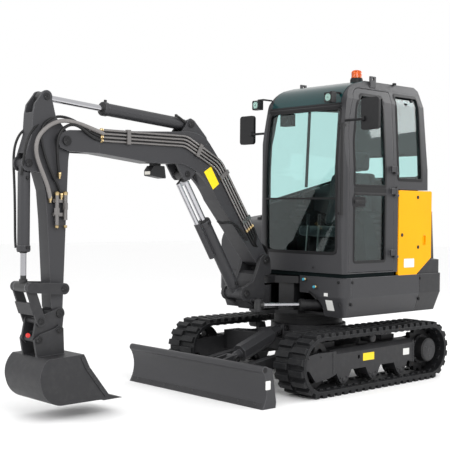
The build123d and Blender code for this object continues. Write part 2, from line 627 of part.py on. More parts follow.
# Platform: floor plate, upper race of the slewing ring and the nose that carries the swing post
NOSE_TOP = (829.0, 885.0)
NOSE_BASE = (580.0, 608.0)
NOSE_TIP = 88.0
WEB_IN = 190.0
with BuildPart() as platform:
    extrude(machine_plan(NOSE_BASE[0], SKIRT_TUCK + SKIRT_WALL + SEAT_GAP), amount=FLOOR_PLATE)
    block(-TAIL_RADIUS, SEAM_REAR, -HALF_WIDTH, HALF_WIDTH, NOSE_BASE[0], NOSE_BASE[1], mode=Mode.SUBTRACT)
    extrude(machine_plan(NOSE_BASE[0], BALLAST + SKIRT_TUCK + SEAT_GAP), amount=FLOOR_PLATE)
    upright_disc((0, 0), race_top + 0.5, NOSE_BASE[0], RING_RADIUS - 6)
    upright_disc((0, 0), race_top + 0.5, race_top + 24, RING_RADIUS)
    for low, high in (NOSE_BASE, NOSE_TOP):
        with BuildSketch(level(low)) as nose:
            with BuildLine():
                Polyline((FRONT_X - 140, 246), (FRONT_X + 8, 246), (KING[0] - 70, NOSE_TIP), (KING[0], NOSE_TIP),
                         (KING[0], -NOSE_TIP), (KING[0] - 70, -NOSE_TIP), (FRONT_X + 8, -246),
                         (FRONT_X - 140, -246), close=True)
            make_face()
            with Locations(KING):
                Circle(NOSE_TIP)
        extrude(nose.sketch, amount=high - low)
    with BuildSketch(level(NOSE_BASE[1])) as webs:
        with BuildLine():
            Polyline((FRONT_X - 140, WEB_IN), (FRONT_X, WEB_IN), (KING[0] - 60, 80), (KING[0] - 90, 60),
                     (FRONT_X - 10, WEB_IN - 30), (FRONT_X - 140, WEB_IN - 30), close=True)
        make_face()
        mirror(about=Plane.XZ)
    extrude(webs.sketch, amount=NOSE_TOP[0] - NOSE_BASE[1])
    upright_disc(KING, NOSE_BASE[1], NOSE_TOP[0], 142, mode=Mode.SUBTRACT)
    upright_disc(KING, NOSE_BASE[0] - 8, NOSE_TOP[1] + 8, KING_PIN - PIN_FIT)
    # bearer of the swing cylinder's foot
    bearer = SWING_FOOT
    block(bearer[0] - 60, bearer[0] + 30, bearer[1] - 34, bearer[1] + 30, NOSE_BASE[0] + FLOOR_PLATE - 1,
          SWING_Z - 34)
    upright_disc(bearer, SWING_Z - 35, SWING_Z + 40, 20 - PIN_FIT)
save(platform, "platform")

# Engine and the portal behind the cab that carries the hood's hinges
FLOOR_TOP = NOSE_BASE[0] + FLOOR_PLATE
PORTAL_X = (-700.0, -650.0)
PORTAL_Y = 490.0
HOOD_HINGE = (-765.0, 1601.0)
with BuildPart() as engine:
    block(-640, -330, -350, 350, FLOOR_TOP + SEAT_GAP, 1180)
    chamfer(engine.edges().filter_by(Axis.Z), length=30)
save(engine, "engine")

with BuildPart() as rear_frame:
    for way in (1, -1):
        low, high = sorted((way * (PORTAL_Y - 60), way * PORTAL_Y))
        block(PORTAL_X[0], PORTAL_X[1], low, high, FLOOR_TOP + SEAT_GAP, CAB_STEP_Z - SEAT_GAP)
        hinge_ear = [(PORTAL_X[0] + 10, CAB_STEP_Z - 4), (PORTAL_X[0] - 12, HOOD_HINGE[1] + 12),
                     (HOOD_HINGE[0] - 12, HOOD_HINGE[1] + 12), (HOOD_HINGE[0] - 12, HOOD_HINGE[1] - 12),
                     (HOOD_HINGE[0] + 26, HOOD_HINGE[1] - 14), (PORTAL_X[0] + 10, CAB_STEP_Z - 70)]
        low, high = sorted((way * (PORTAL_Y - 90), way * (PORTAL_Y - 70)))
        outline(hinge_ear, low, high)
        disc(HOOD_HINGE, low, high, 16)
        low, high = sorted((way * (PORTAL_Y - 122), way * (PORTAL_Y - 70)))
        disc(HOOD_HINGE, low, high, 8 - PIN_FIT)
    block(PORTAL_X[0], PORTAL_X[1], -PORTAL_Y, PORTAL_Y, CAB_STEP_Z - 50, CAB_STEP_Z - SEAT_GAP)
save(rear_frame, "rear_frame")

# Rear hood: a shell over the engine, lifted about hinges along its top front edge
HOOD_INSET = 58.0
HOOD_LOW = HORN_TOP + CLEAR
HOOD_BEND = 1420.0
HOOD_TOP = 1575.0
HOOD_WALL = 22.0
HOOD_FRONT = -752.0


def hood_form(inset):
    """Body of the hood: upright walls below the bend, drawn in above it."""
    with BuildPart() as form:
        loft([machine_plan(HOOD_LOW, HOOD_INSET + inset), machine_plan(HOOD_BEND, HOOD_INSET + 16 + inset)])
        loft([machine_plan(HOOD_BEND, HOOD_INSET + 16 + inset), machine_plan(HOOD_TOP - inset, 150 + inset)])
    return form.part


with BuildPart() as rear_hood:
    add(hood_form(0))
    add(hood_form(HOOD_WALL), mode=Mode.SUBTRACT)
    block(-TAIL_RADIUS, HOOD_FRONT, -HALF_WIDTH, HALF_WIDTH, HOOD_LOW, HOOD_TOP, mode=Mode.INTERSECT)
    for way in (1, -1):
        low, high = sorted((way * (PORTAL_Y - 118), way * (PORTAL_Y - 92)))
        strap = [(HOOD_HINGE[0] - 16, HOOD_HINGE[1] + 8), (HOOD_HINGE[0] + 10, HOOD_HINGE[1] + 12),
                 (HOOD_HINGE[0] + 12, HOOD_HINGE[1] - 10), (HOOD_HINGE[0] - 10, HOOD_TOP - 12),
                 (HOOD_HINGE[0] - 110, HOOD_TOP - 12), (HOOD_HINGE[0] - 110, HOOD_TOP + 4)]
        outline(strap, low, high)
        disc(HOOD_HINGE, low, high, 18)
        disc(HOOD_HINGE, low, high, 8, mode=Mode.SUBTRACT)
save(rear_hood, "rear_hood")

# Side panel beside the engine, with an oval recess for its latch
COVER_LOW = SKIRT_TOP + SEAT_GAP
PANEL_FRONT = -283.0
PANEL_REAR = -740.0
PANEL_WALL = 25.0
HORN_RISE = (HORN_TOP - SKIRT_TOP) / (HORN_START - HORN_X)
PANEL_CUT_X = HORN_START + 14
PANEL_CUT_Z = COVER_LOW + (PANEL_CUT_X - PANEL_REAR) * HORN_RISE
with BuildPart() as side_panel_left:
    panel = [(PANEL_FRONT, COVER_LOW), (PANEL_FRONT, 1594), (PANEL_REAR, 1594), (PANEL_REAR, PANEL_CUT_Z),
             (PANEL_CUT_X, COVER_LOW)]
    outline(panel, HALF_WIDTH - PANEL_WALL, HALF_WIDTH, rounding=14)
    with BuildSketch(side(HALF_WIDTH)) as recess:
        with Locations((-640, 1180)):
            Ellipse(24, 46)
    extrude(recess.sketch, amount=12, mode=Mode.SUBTRACT)
save(side_panel_left, "side_panel_left")

# Right cover over the tanks: rounded down towards the front, open to the cab and below
COVER_IN = -196.0
COVER_WALL = 30.0


def cover_outline(inset):
    """Side outline of the right cover."""
    with BuildSketch(side(COVER_IN)) as shape:
        with BuildLine():
            Line((370 - inset, COVER_LOW - 2 * inset), (370 - inset, 1150))
            ThreePointArc((370 - inset, 1150), (280 - 0.8 * inset, 1290 - 0.6 * inset), (120, 1345 - inset))
            Line((120, 1345 - inset), (-280, 1400 - inset))
            Line((-280, 1400 - inset), (PANEL_REAR - 2 * inset, 1560 - inset))
            Polyline((PANEL_REAR - 2 * inset, 1560 - inset), (PANEL_REAR - 2 * inset, COVER_LOW - 2 * inset),
                     (370 - inset, COVER_LOW - 2 * inset))
        make_face()
    return shape.sketch


with BuildPart() as right_cover:
    extrude(cover_outline(0), amount=HALF_WIDTH + COVER_IN)
    outer_edges = right_cover.faces().sort_by(Axis.Y)[0].edges()
    chamfer(outer_edges.filter_by(lambda edge: edge.center().Z > 1000), length=24)
    extrude(cover_outline(COVER_WALL), amount=HALF_WIDTH + COVER_IN - COVER_WALL, mode=Mode.SUBTRACT)
    corner = [(PANEL_REAR - 5, COVER_LOW - 5), (PANEL_REAR - 5, PANEL_CUT_Z), (PANEL_CUT_X, COVER_LOW),
              (PANEL_CUT_X, COVER_LOW - 5)]
    outline(corner, -HALF_WIDTH, COVER_IN, mode=Mode.SUBTRACT)
    block(PORTAL_X[0] - CLEAR, PORTAL_X[1] + CLEAR, -PORTAL_Y - CLEAR, COVER_IN, 1400, CAB_STEP_Z,
          mode=Mode.SUBTRACT)
save(right_cover, "right_cover")


# Cab: one shell, from its side, front and plan outlines
CAB_SIDE_FOLD = 1750.0
CAB_LEAN = 34.0
CAB_EDGE = 48.0


def cab_side(inset):
    """Side outline of the cab, drawn in by inset."""
    with BuildSketch(side(CAB_LEFT)) as shape:
        with BuildLine():
            Line((CAB_STEP_X, CAB_LOW), (403, CAB_LOW))
            Line((403, CAB_LOW), (413, 1500))
            ThreePointArc((413, 1500), (400, 1960), (361, 2242))
            ThreePointArc((361, 2242), (318, 2352), (195, 2430))
            Line((195, 2430), (60, 2465))
            Line((60, 2465), (-600, ROOF_Z))
            Polyline((-600, ROOF_Z), (-644, 2440), (-667, 1949), (CAB_REAR + 4, CAB_STEP_Z),
                     (CAB_STEP_X, CAB_STEP_Z), (CAB_STEP_X, CAB_LOW))
        make_face()
        if inset > 0:
            offset(amount=-inset, kind=Kind.INTERSECTION)
    return shape.sketch


def cab_front(inset):
    """Front outline of the cab: upright sides that lean in above the fold."""
    with BuildSketch(across(450)) as shape:
        with BuildLine():
            Polyline((CAB_RIGHT, CAB_LOW - 10), (CAB_RIGHT, CAB_SIDE_FOLD), (CAB_RIGHT + CAB_LEAN, 2300),
                     (CAB_RIGHT + CAB_LEAN + 70, ROOF_Z + 10), (CAB_LEFT - CAB_LEAN - 70, ROOF_Z + 10),
                     (CAB_LEFT - CAB_LEAN, 2300), (CAB_LEFT, CAB_SIDE_FOLD), (CAB_LEFT, CAB_LOW - 10), close=True)
        make_face()
        if inset > 0:
            offset(amount=-inset, kind=Kind.INTERSECTION)
    return shape.sketch


def cab_form(inset):
    """The cab's body, drawn in by inset."""
    with BuildPart() as form:
        extrude(cab_side(inset), amount=CAB_LEFT - CAB_RIGHT)
        extrude(cab_front(inset), amount=-1300, mode=Mode.INTERSECT)
        with BuildSketch(level(CAB_LOW - 20)) as plan:
            with Locations(((450 + CAB_REAR - 60) / 2, (CAB_LEFT + CAB_RIGHT) / 2)):
                Rectangle(450 - CAB_REAR + 60 - 74, CAB_LEFT - CAB_RIGHT - 2 * inset)
            fillet(plan.vertices(), radius=max(CAB_EDGE - inset, 8))
        extrude(plan.sketch, amount=ROOF_Z, mode=Mode.INTERSECT)
    return form.part


def door_outline(grow):
    """Outline of the door, let out by grow."""
    with BuildSketch(side(CAB_LEFT + 60)) as shape:
        with BuildLine():
            Line((DOOR_REAR, 938), (DOOR_FRONT, 938))
            Line((DOOR_FRONT, 938), (DOOR_FRONT, 1960))
            ThreePointArc((DOOR_FRONT, 1960), (326, 2150), (268, 2318))
            ThreePointArc((268, 2318), (230, 2372), (170, DOOR_TOP))
            Polyline((170, DOOR_TOP), (DOOR_REAR, DOOR_TOP), (DOOR_REAR, 938))
        make_face()
        if grow > 0:
            offset(amount=grow, kind=Kind.INTERSECTION)
    return shape.sketch


def pane_cut(points, y_at, depth, rounding=22.0):
    """Window hole in a side wall, in the part that is being built."""
    outline(points, y_at - depth, y_at, rounding=rounding, mode=Mode.SUBTRACT)


def front_opening(y_low, y_high, z_low, z_high, shrink, rounding=30.0):
    """Face of a front opening, drawn in by shrink."""
    with BuildSketch(across(200)) as hole:
        with Locations(((y_low + y_high) / 2, (z_low + z_high) / 2)):
            Rectangle(y_high - y_low - 2 * shrink, z_high - z_low - 2 * shrink)
        fillet(hole.vertices(), radius=rounding)
    return hole.sketch


DOOR_HINGE = (-222.0, 745.0)
HINGE_HEIGHTS = (1060.0, 1560.0, 1740.0)
KNUCKLE = 46.0
BRACKET = 20.0
DOOR_REACH = 200.0
cab_outer = cab_form(0)
cab_inner = cab_form(CAB_WALL)
SCREEN = (-130.0, 660.0, 1075.0, 2232.0)
QUARTER = [(-262, 1672), (-604, 1672), (-596, 2386), (-262, 2386)]
RIGHT_PANE = [(-560, 1690), (320, 1480), (320, 1960), (250, 2290), (-560, 2330)]
REAR_PANE = (-110.0, 650.0, 1700.0, 2330.0)
with BuildPart() as cab_frame:
    add(cab_outer)
    add(cab_inner, mode=Mode.SUBTRACT)
    block(-800, 500, -300, 800, ROOF_SPLIT, ROOF_Z + 10, mode=Mode.SUBTRACT)
    extrude(front_opening(*SCREEN, 0), amount=260, mode=Mode.SUBTRACT)
    extrude(door_outline(DOOR_GAP), amount=DOOR_REACH, mode=Mode.SUBTRACT)
    pane_cut(QUARTER, CAB_LEFT + 10, 120)
    pane_cut(RIGHT_PANE, CAB_RIGHT + 100, 120)
    rear_hole = front_opening(*REAR_PANE, 0)
    extrude(rear_hole.moved(Location((-960, 0, 0))), amount=130, mode=Mode.SUBTRACT)
    for z_hinge in HINGE_HEIGHTS:
        low = z_hinge - BRACKET
        block(DOOR_HINGE[0] - 36, DOOR_HINGE[0], CAB_LEFT - 20, DOOR_HINGE[1] + 8, low, z_hinge - SIDE_FIT)
        upright_disc(DOOR_HINGE, low, z_hinge - SIDE_FIT, 14)
        upright_disc(DOOR_HINGE, low, z_hinge + KNUCKLE, 8 - PIN_FIT)
save(cab_frame, "cab_frame")

with BuildPart() as cab_roof:
    add(cab_outer)
    add(cab_inner, mode=Mode.SUBTRACT)
    block(-800, 500, -300, 800, ROOF_SPLIT + SEAT_GAP, ROOF_Z + 10, mode=Mode.INTERSECT)
    for place in ((-26, -110), (-21, 650)):
        lug_low = (place[0] - 34, place[0] + 34, place[1] - 8, place[1] + 8)
        block(*lug_low, ROOF_SPLIT + 10, ROOF_Z + 34)
        disc((place[0], ROOF_Z + 12), place[1] - 8, place[1] + 8, 12, mode=Mode.SUBTRACT)
save(cab_roof, "cab_roof")

with BuildPart() as cab_floor:
    with BuildSketch(level(COVER_LOW)) as deck:
        with Locations(((CAB_STEP_X + 390) / 2, (CAB_LEFT + CAB_RIGHT) / 2)):
            Rectangle(390 - CAB_STEP_X, CAB_LEFT - CAB_RIGHT - 20)
        fillet(deck.vertices(), radius=40)
    extrude(deck.sketch, amount=CAB_LOW - SEAT_GAP - COVER_LOW)
save(cab_floor, "cab_floor")

# Door: the cab's own shell, cut out to its outline, with an upper and a lower pane
UPPER_PANE = [(-115, 1610), (294, 1610), (294, 1960), (240, 2260), (170, 2350), (-115, 2350)]
LOWER_PANE = [(-115, 1010), (294, 1010), (294, 1560), (-115, 1560)]
with BuildPart() as door:
    add(cab_outer)
    add(cab_inner, mode=Mode.SUBTRACT)
    extrude(door_outline(0), amount=DOOR_REACH, mode=Mode.INTERSECT)
    pane_cut(UPPER_PANE, CAB_LEFT + 10, 120)
    pane_cut(LOWER_PANE, CAB_LEFT + 10, 120)
    for z_hinge in HINGE_HEIGHTS:
        block(DOOR_REAR, DOOR_REAR + 50, CAB_LEFT - 24, CAB_LEFT + 22, z_hinge, z_hinge + KNUCKLE)
        block(DOOR_HINGE[0], DOOR_REAR + 2, CAB_LEFT + 4, CAB_LEFT + 22, z_hinge, z_hinge + KNUCKLE)
        upright_disc(DOOR_HINGE, z_hinge, z_hinge + KNUCKLE, 13)
        upright_disc(DOOR_HINGE, z_hinge, z_hinge + KNUCKLE, 8, mode=Mode.SUBTRACT)
save(door, "door")


def pane_in(points, y_at, rounding=22.0):
    """Sheet of glass in a side wall, a seat's gap smaller than its hole."""
    with BuildSketch(side(y_at)) as pane:
        with BuildLine():
            Polyline(*points, close=True)
        make_face()
        fillet(pane.vertices(), radius=rounding)
        offset(amount=-SEAT_GAP)
    extrude(pane.sketch, amount=GLASS)


def front_glass_face(shrink):
    """Glass in the front opening follows the cab's front between two side outlines."""
    with BuildPart() as sheet:
        extrude(front_opening(*SCREEN, shrink), amount=260)
        extrude(cab_side(16), amount=CAB_LEFT - CAB_RIGHT, mode=Mode.INTERSECT)
        extrude(cab_side(16 + GLASS), amount=CAB_LEFT - CAB_RIGHT, mode=Mode.SUBTRACT)
    return sheet.part


with BuildPart() as front_glass:
    add(front_glass_face(SEAT_GAP))
save(front_glass, "front_glass")

with BuildPart() as door_glass:
    pane_in(LOWER_PANE, CAB_LEFT - 16)
    with BuildSketch(side(CAB_LEFT)) as upper_pane:
        with BuildLine():
            Polyline(*UPPER_PANE, close=True)
        make_face()
        fillet(upper_pane.vertices(), radius=22)
        offset(amount=-SEAT_GAP)
    upper_sheet = extrude(upper_pane.sketch, amount=120, mode=Mode.PRIVATE)
    with BuildSketch(across(450)) as leaning:
        with BuildLine():
            outer_line = ((CAB_LEFT - 16, 1560), (CAB_LEFT - 16, CAB_SIDE_FOLD), (CAB_LEFT - 16 - CAB_LEAN, 2300),
                          (CAB_LEFT - 54 - CAB_LEAN, 2360))
            Polyline(*outer_line, *[(y - GLASS, z) for y, z in reversed(outer_line)], close=True)
        make_face()
    leaning_sheet = extrude(leaning.sketch, amount=-900, mode=Mode.PRIVATE)
    add(upper_sheet.intersect(leaning_sheet))
save(door_glass, "door_glass")

with BuildPart() as side_glass:
    for points, y_wall, way in ((QUARTER, CAB_LEFT, 1), (RIGHT_PANE, CAB_RIGHT, -1)):
        with BuildSketch(side(CAB_LEFT)) as pane:
            with BuildLine():
                Polyline(*points, close=True)
            make_face()
            fillet(pane.vertices(), radius=22)
            offset(amount=-SEAT_GAP)
        sheet = extrude(pane.sketch, amount=CAB_LEFT - CAB_RIGHT, mode=Mode.PRIVATE)
        with BuildSketch(across(450)) as leaning:
            with BuildLine():
                inner = y_wall - way * 16
                outer_line = ((inner, 1400), (inner, CAB_SIDE_FOLD), (inner - way * CAB_LEAN, 2300),
                              (inner - way * (CAB_LEAN + 40), 2400))
                Polyline(*outer_line, *[(y - way * GLASS, z) for y, z in reversed(outer_line)], close=True)
            make_face()
        add(sheet.intersect(extrude(leaning.sketch, amount=-1300, mode=Mode.PRIVATE)))
    extrude(front_opening(*REAR_PANE, SEAT_GAP).moved(Location((-858, 0, 0))), amount=GLASS)
save(side_glass, "side_glass")

# Seat, consoles and levers
CAB_BASE = CAB_LOW + CAB_WALL
SEAT_Y = 290.0
with BuildPart() as seat:
    block(-190, 60, SEAT_Y - 150, SEAT_Y + 150, CAB_BASE + SEAT_GAP, 1200)
    with BuildSketch(side(SEAT_Y + 230)) as cushions:
        with BuildLine():
            Polyline((-215, 1190), (215, 1200), (245, 1250), (215, 1300), (-90, 1285), (-150, 1420), (-195, 1850),
                     (-240, 1930), (-292, 1915), (-285, 1700), (-224, 1650), (-224, 1250), close=True)
        make_face()
        fillet(cushions.vertices(), radius=8)
    extrude(cushions.sketch, amount=460)
save(seat, "seat")

with BuildPart() as consoles:
    for middle in (SEAT_Y - 310, SEAT_Y + 310):
        console = [(-225, CAB_BASE + SEAT_GAP), (-225, 1380), (-60, 1420), (130, 1420), (170, 1370), (90, 1300),
                   (40, CAB_BASE + SEAT_GAP)]
        outline(console, middle - 60, middle + 60, rounding=8)
        upright_disc((80, middle), 1380, 1450, 38)
        upright_disc((80, middle), 1440, 1560, 16)
save(consoles, "consoles")

with BuildPart() as levers:
    for middle in (SEAT_Y - 60, SEAT_Y + 60):
        block(260, 340, middle - 34, middle + 34, CAB_BASE + SEAT_GAP, CAB_BASE + 40)
        lever = [(288, CAB_BASE + 30), (300, CAB_BASE + 30), (268, 1370), (256, 1370)]
        outline(lever, middle - 6, middle + 6)
save(levers, "levers")

# Lamps, mirrors, beacon and grab rail
LAMP = 78.0
LAMP_AT = ((455.0, -191.0, 2297.0), (455.0, 609.0, 2299.0))
with BuildPart() as work_lamps:
    for x, y, z in LAMP_AT:
        block(x - 34, x + 20, y - LAMP / 2, y + LAMP / 2, z - LAMP / 2, z + LAMP / 2)
        lamp_edges = work_lamps.faces().sort_by(Axis.X)[-1].edges()
        chamfer(lamp_edges, length=5)
        inboard = y + 46 if y < 0 else y
        block(x - 26, x - 16, min(y, inboard) - 10, max(y, inboard) + 10, z + LAMP / 2 - 2, z + LAMP / 2 + 12)
        block(330, x - 16, inboard - 10, inboard + 10, z + LAMP / 2, z + LAMP / 2 + 12)
    add(cab_outer, mode=Mode.SUBTRACT)
save(work_lamps, "work_lamps")

with BuildPart() as mirrors:
    for post_y, centre_y, z, way in ((705.0, 940.0, 2160.0, 1), (-164.0, -399.0, 2105.0, -1)):
        low, high = sorted((centre_y - way * 84, centre_y + way * 84))
        with BuildSketch(across(346)) as glass_back:
            with Locations(((low + high) / 2, z)):
                Rectangle(high - low, 244)
            fillet(glass_back.vertices(), radius=26)
        extrude(glass_back.sketch, amount=26)
        with BuildSketch(side(post_y)) as bar:
            with Locations((378, z - 40)):
                Circle(10)
        extrude(bar.sketch, amount=-(centre_y - way * 40 - post_y))
    add(cab_outer, mode=Mode.SUBTRACT)
save(mirrors, "mirrors")

BEACON = (60.0, 550.0)
with BuildPart() as beacon:
    upright_disc(BEACON, ROOF_Z - 40, 2492, 52)
    upright_disc(BEACON, 2492, 2560, 44)
    chamfer(beacon.edges().filter_by(GeomType.CIRCLE).sort_by(Axis.Z)[-1], length=14)
    add(cab_outer, mode=Mode.SUBTRACT)
save(beacon, "beacon")

RAIL = (440.0, 728.0)
RAIL_Z = (1386.0, 2098.0)
with BuildPart() as grab_rail:
    upright_disc(RAIL, RAIL_Z[0], RAIL_Z[1], 13)
    for z_foot in (RAIL_Z[0] + 13, RAIL_Z[1] - 13):
        block(370, RAIL[0], RAIL[1] - 40, RAIL[1] - 16, z_foot - 12, z_foot + 12)
        block(RAIL[0] - 13, RAIL[0] + 4, RAIL[1] - 40, RAIL[1], z_foot - 12, z_foot + 12)
    add(cab_outer, mode=Mode.SUBTRACT)
save(grab_rail, "grab_rail")

# Swing post: the boss on the kingpin, two ears for the boom and its cylinder, lugs for the swing cylinder
SWING_EYE_HALF = 30.0
with BuildPart() as swing_post:
    upright_disc(KING, POST_LOW, POST_TOP, KING_BOSS)
    core = [(KING[0], POST_TOP), (668, POST_TOP), (668, 905), (700, 930), (742, 905), (772, 850), (784, 800),
            (784, 690), (745, POST_LOW), (KING[0], POST_LOW)]
    outline(core, -POST_GAP - 1, POST_GAP + 1)
    ear = [(577, 916), (592, 1029), (608, 1054), (640, 1066), (676, 1056), (700, 1036), (727, 956), (776, 855),
           (850, 815), (850, 700), (800, 680), (745, 640), (690, POST_LOW), (656, POST_LOW), (656, 893), (602, 899)]
    both_sides(ear, POST_GAP, POST_GAP + POST_EAR)
    for foot, radius in ((BOOM_FOOT, 47), (BOOM_CYL_FOOT, 58)):
        for low, high in ((POST_GAP, POST_GAP + POST_EAR), (-POST_GAP - POST_EAR, -POST_GAP)):
            disc(foot, low, high, radius)
    disc(BOOM_FOOT, -POST_GAP - POST_EAR - 8, POST_GAP + POST_EAR + 8, 27 - PIN_FIT)
    disc(BOOM_CYL_FOOT, -POST_GAP - POST_EAR - 8, POST_GAP + POST_EAR + 8, 25 - PIN_FIT)
    for low in (SWING_Z - SWING_EYE_HALF - SIDE_FIT - 16, SWING_Z + SWING_EYE_HALF + SIDE_FIT):
        with BuildSketch(level(low)) as lug:
            with BuildLine():
                Polyline((680, 80), (748, 192), (780, 206), (812, 176), (808, 104), (770, 60), close=True)
            make_face()
            with Locations(SWING_EYE):
                Circle(34)
        extrude(lug.sketch, amount=16)
    upright_disc(KING, POST_LOW, POST_TOP, KING_PIN, mode=Mode.SUBTRACT)
save(swing_post, "swing_post")


def swing_axis():
    """Level plane at the swing cylinder's foot with local x towards its eye."""
    run, heading = toward(SWING_FOOT, SWING_EYE)
    foot = level(SWING_Z).from_local_coords((SWING_FOOT[0], SWING_FOOT[1], 0))
    return Plane(origin=foot, x_dir=(cos(radians(heading)), sin(radians(heading)), 0), z_dir=(0, 0, 1))


SWING_LENGTH, SWING_HEADING = toward(SWING_FOOT, SWING_EYE)
with BuildPart() as swing_barrel:
    barrel_in(swing_axis(), SWING_CYL, 575, 66, 32, SWING_EYE_HALF, 20)
save(swing_barrel, "swing_barrel")

with BuildPart() as swing_rod:
    rod_in(swing_axis(), SWING_CYL[1], SWING_LENGTH, 356, 30, SWING_EYE_HALF)
save(swing_rod, "swing_rod")

# Boom: a bent box, its belly open between the ears of its cylinder, forked at the tip
BOOM_EYE_HALF = 48.0
HEAD_EAR = 16.0
ARM_FOOT_HALF = 48.0
TIP_SWEEP = 182.0
with BuildPart() as boom:
    with BuildSketch(side(BOOM_HALF)):
        with BuildLine():
            Polyline((640, 972), (716, 1000), (1144, 1492))
            ThreePointArc((1144, 1492), (1298, 1668), (1503, 1756))
            Polyline((1503, 1756), (1779, 1750), (2239, 1797), (2420, 1799), (2420, 1945), (1851, 1975), (1460, 1998))
            ThreePointArc((1460, 1998), (1332, 1984), (1228, 1926))
            Polyline((1228, 1926), (1083, 1757), (690, 1205), (594, 1052), (592, 1000), (640, 972))
        make_face()
    extrude(amount=2 * BOOM_HALF)
    disc(BOOM_FOOT, -POST_GAP + SIDE_FIT, POST_GAP - SIDE_FIT, 46)
    disc(BOOM_FOOT, -POST_GAP, POST_GAP, 27, mode=Mode.SUBTRACT)
    fork = [(2250, 1798), (2500, 1798), (2574, 1822), (2592, 1868), (2574, 1914), (2500, 1942), (2250, 1956)]
    both_sides(fork, FORK_IN, FORK_OUT)
    disc(BOOM_TIP, -FORK_IN, FORK_IN, TIP_SWEEP, mode=Mode.SUBTRACT)
    disc(BOOM_TIP, -FORK_OUT - 8, FORK_OUT + 8, 27 - PIN_FIT)
    head_ear = [(1330, 1720), (1392, 1658), (1412, 1638), (1454, 1638), (1478, 1656), (1545, 1757), (1500, 1800),
                (1330, 1780)]
    both_sides(head_ear, BOOM_EYE_HALF + SIDE_FIT, BOOM_EYE_HALF + SIDE_FIT + HEAD_EAR)
    belly = [(1185, 1548), (1274, 1681), (1314, 1750), (1314, 1800), (1516, 1800), (1516, 1560)]
    outline(belly, -BOOM_EYE_HALF - SIDE_FIT, BOOM_EYE_HALF + SIDE_FIT, mode=Mode.SUBTRACT)
    top_ear = [(1228, 1926), (1250, 1972), (1372, 2088), (1406, 2102), (1438, 2088), (1452, 2050), (1500, 1990),
               (1400, 1960)]
    both_sides(top_ear, ARM_FOOT_HALF + SIDE_FIT, ARM_FOOT_HALF + SIDE_FIT + HEAD_EAR)
    disc(ARM_CYL_FOOT, -ARM_FOOT_HALF - 26, ARM_FOOT_HALF + 26, 20 - PIN_FIT)
save(boom, "boom")

# Guard beside the boom cylinder's rod, sliding in a sleeve on the barrel
BOOM_CYL_LENGTH, BOOM_CYL_HEADING = toward(BOOM_CYL_FOOT, BOOM_CYL_HEAD)
GUARD_AWAY = -68.0
SLEEVE = (26.0, 20.0)
GUARD_ROD = 19.0


def offset_bar(plane, away, start, stop, radius, mode=Mode.ADD):
    """Bar along local x of the plane, away from its axis, in the part that is being built."""
    base = Plane(origin=plane.from_local_coords((start, away, 0)), z_dir=plane.x_dir, x_dir=(0, 1, 0))
    with BuildSketch(base) as ring:
        Circle(radius)
    extrude(ring.sketch, amount=stop - start, mode=mode)


with BuildPart() as boom_barrel:
    boom_axis = side_axis(BOOM_CYL_FOOT, BOOM_CYL_HEAD)
    barrel_in(boom_axis, BOOM_CYL, 677, 120, 45, POST_GAP - SIDE_FIT, 25)
    offset_bar(boom_axis, GUARD_AWAY, 383, 690, SLEEVE[0])
    offset_bar(boom_axis, GUARD_AWAY, 383, 690, SLEEVE[1], mode=Mode.SUBTRACT)
save(boom_barrel, "boom_barrel")

with BuildPart() as boom_rod:
    rod_in(boom_axis, BOOM_CYL[1], BOOM_CYL_LENGTH, 400, 42, BOOM_EYE_HALF)
    offset_bar(boom_axis, GUARD_AWAY, 410, BOOM_CYL_LENGTH - 40, GUARD_ROD)
    bridge = [along(BOOM_CYL_FOOT, BOOM_CYL_HEADING, BOOM_CYL_LENGTH - 74, GUARD_AWAY - 12),
              along(BOOM_CYL_FOOT, BOOM_CYL_HEADING, BOOM_CYL_LENGTH - 40, GUARD_AWAY - 12),
              along(BOOM_CYL_FOOT, BOOM_CYL_HEADING, BOOM_CYL_LENGTH - 22, 0),
              along(BOOM_CYL_FOOT, BOOM_CYL_HEADING, BOOM_CYL_LENGTH - 74, 0)]
    outline(bridge, -16, 16)
save(boom_rod, "boom_rod")

# Boom pipes: four in a row along the boom's left side, with clamps
PIPE = 8.5
PIPE_PITCH = 25.0
PIPE_Y = BOOM_HALF + PIPE + 2.5
PIPE_ROUTE = [(840.0, 1262.0), (1164.0, 1733.0), (1483.0, 1887.0), (2238.0, 1884.0)]
CLAMPS = ((0, 0.12), (0, 0.86), (1, 0.62), (2, 0.70))


def shifted(points, amount):
    """The same route moved to its left by amount, its corners mitred."""
    headings = [radians(toward(start, end)[1]) for start, end in zip(points, points[1:])]
    moved = []
    for index, (x, z) in enumerate(points):
        before = headings[max(index - 1, 0)]
        after = headings[min(index, len(headings) - 1)]
        middle = (before + after) / 2
        reach = amount / cos((after - before) / 2)
        moved.append((x - reach * sin(middle), z + reach * cos(middle)))
    return moved


with BuildPart() as boom_pipes:
    for row in range(4):
        route = shifted(PIPE_ROUTE, row * PIPE_PITCH)
        with BuildLine(side(PIPE_Y)) as path:
            FilletPolyline(*route, radius=180)
        with BuildSketch(Plane(origin=path.line @ 0, z_dir=path.line % 0)) as section:
            Circle(PIPE)
        sweep(section.sketch, path=path.line)
    for run, share in CLAMPS:
        start, end = PIPE_ROUTE[run], PIPE_ROUTE[run + 1]
        length, heading = toward(start, end)
        corners = [along(start, heading, share * length + step, reach)
                   for step, reach in ((-16, -14), (16, -14), (16, 3 * PIPE_PITCH + 14), (-16, 3 * PIPE_PITCH + 14))]
        outline(corners, BOOM_HALF + SEAT_GAP, PIPE_Y + PIPE + 6)
save(boom_pipes, "boom_pipes")

with BuildPart() as boom_lamp:
    lamp_side = [(1625, 1642), (1762, 1660), (1762, 1700), (1735, 1735), (1640, 1735)]
    outline(lamp_side, -44, 44, rounding=8)
    block(1660, 1730, -24, 24, 1730, 1751 - SEAT_GAP)
save(boom_lamp, "boom_lamp")

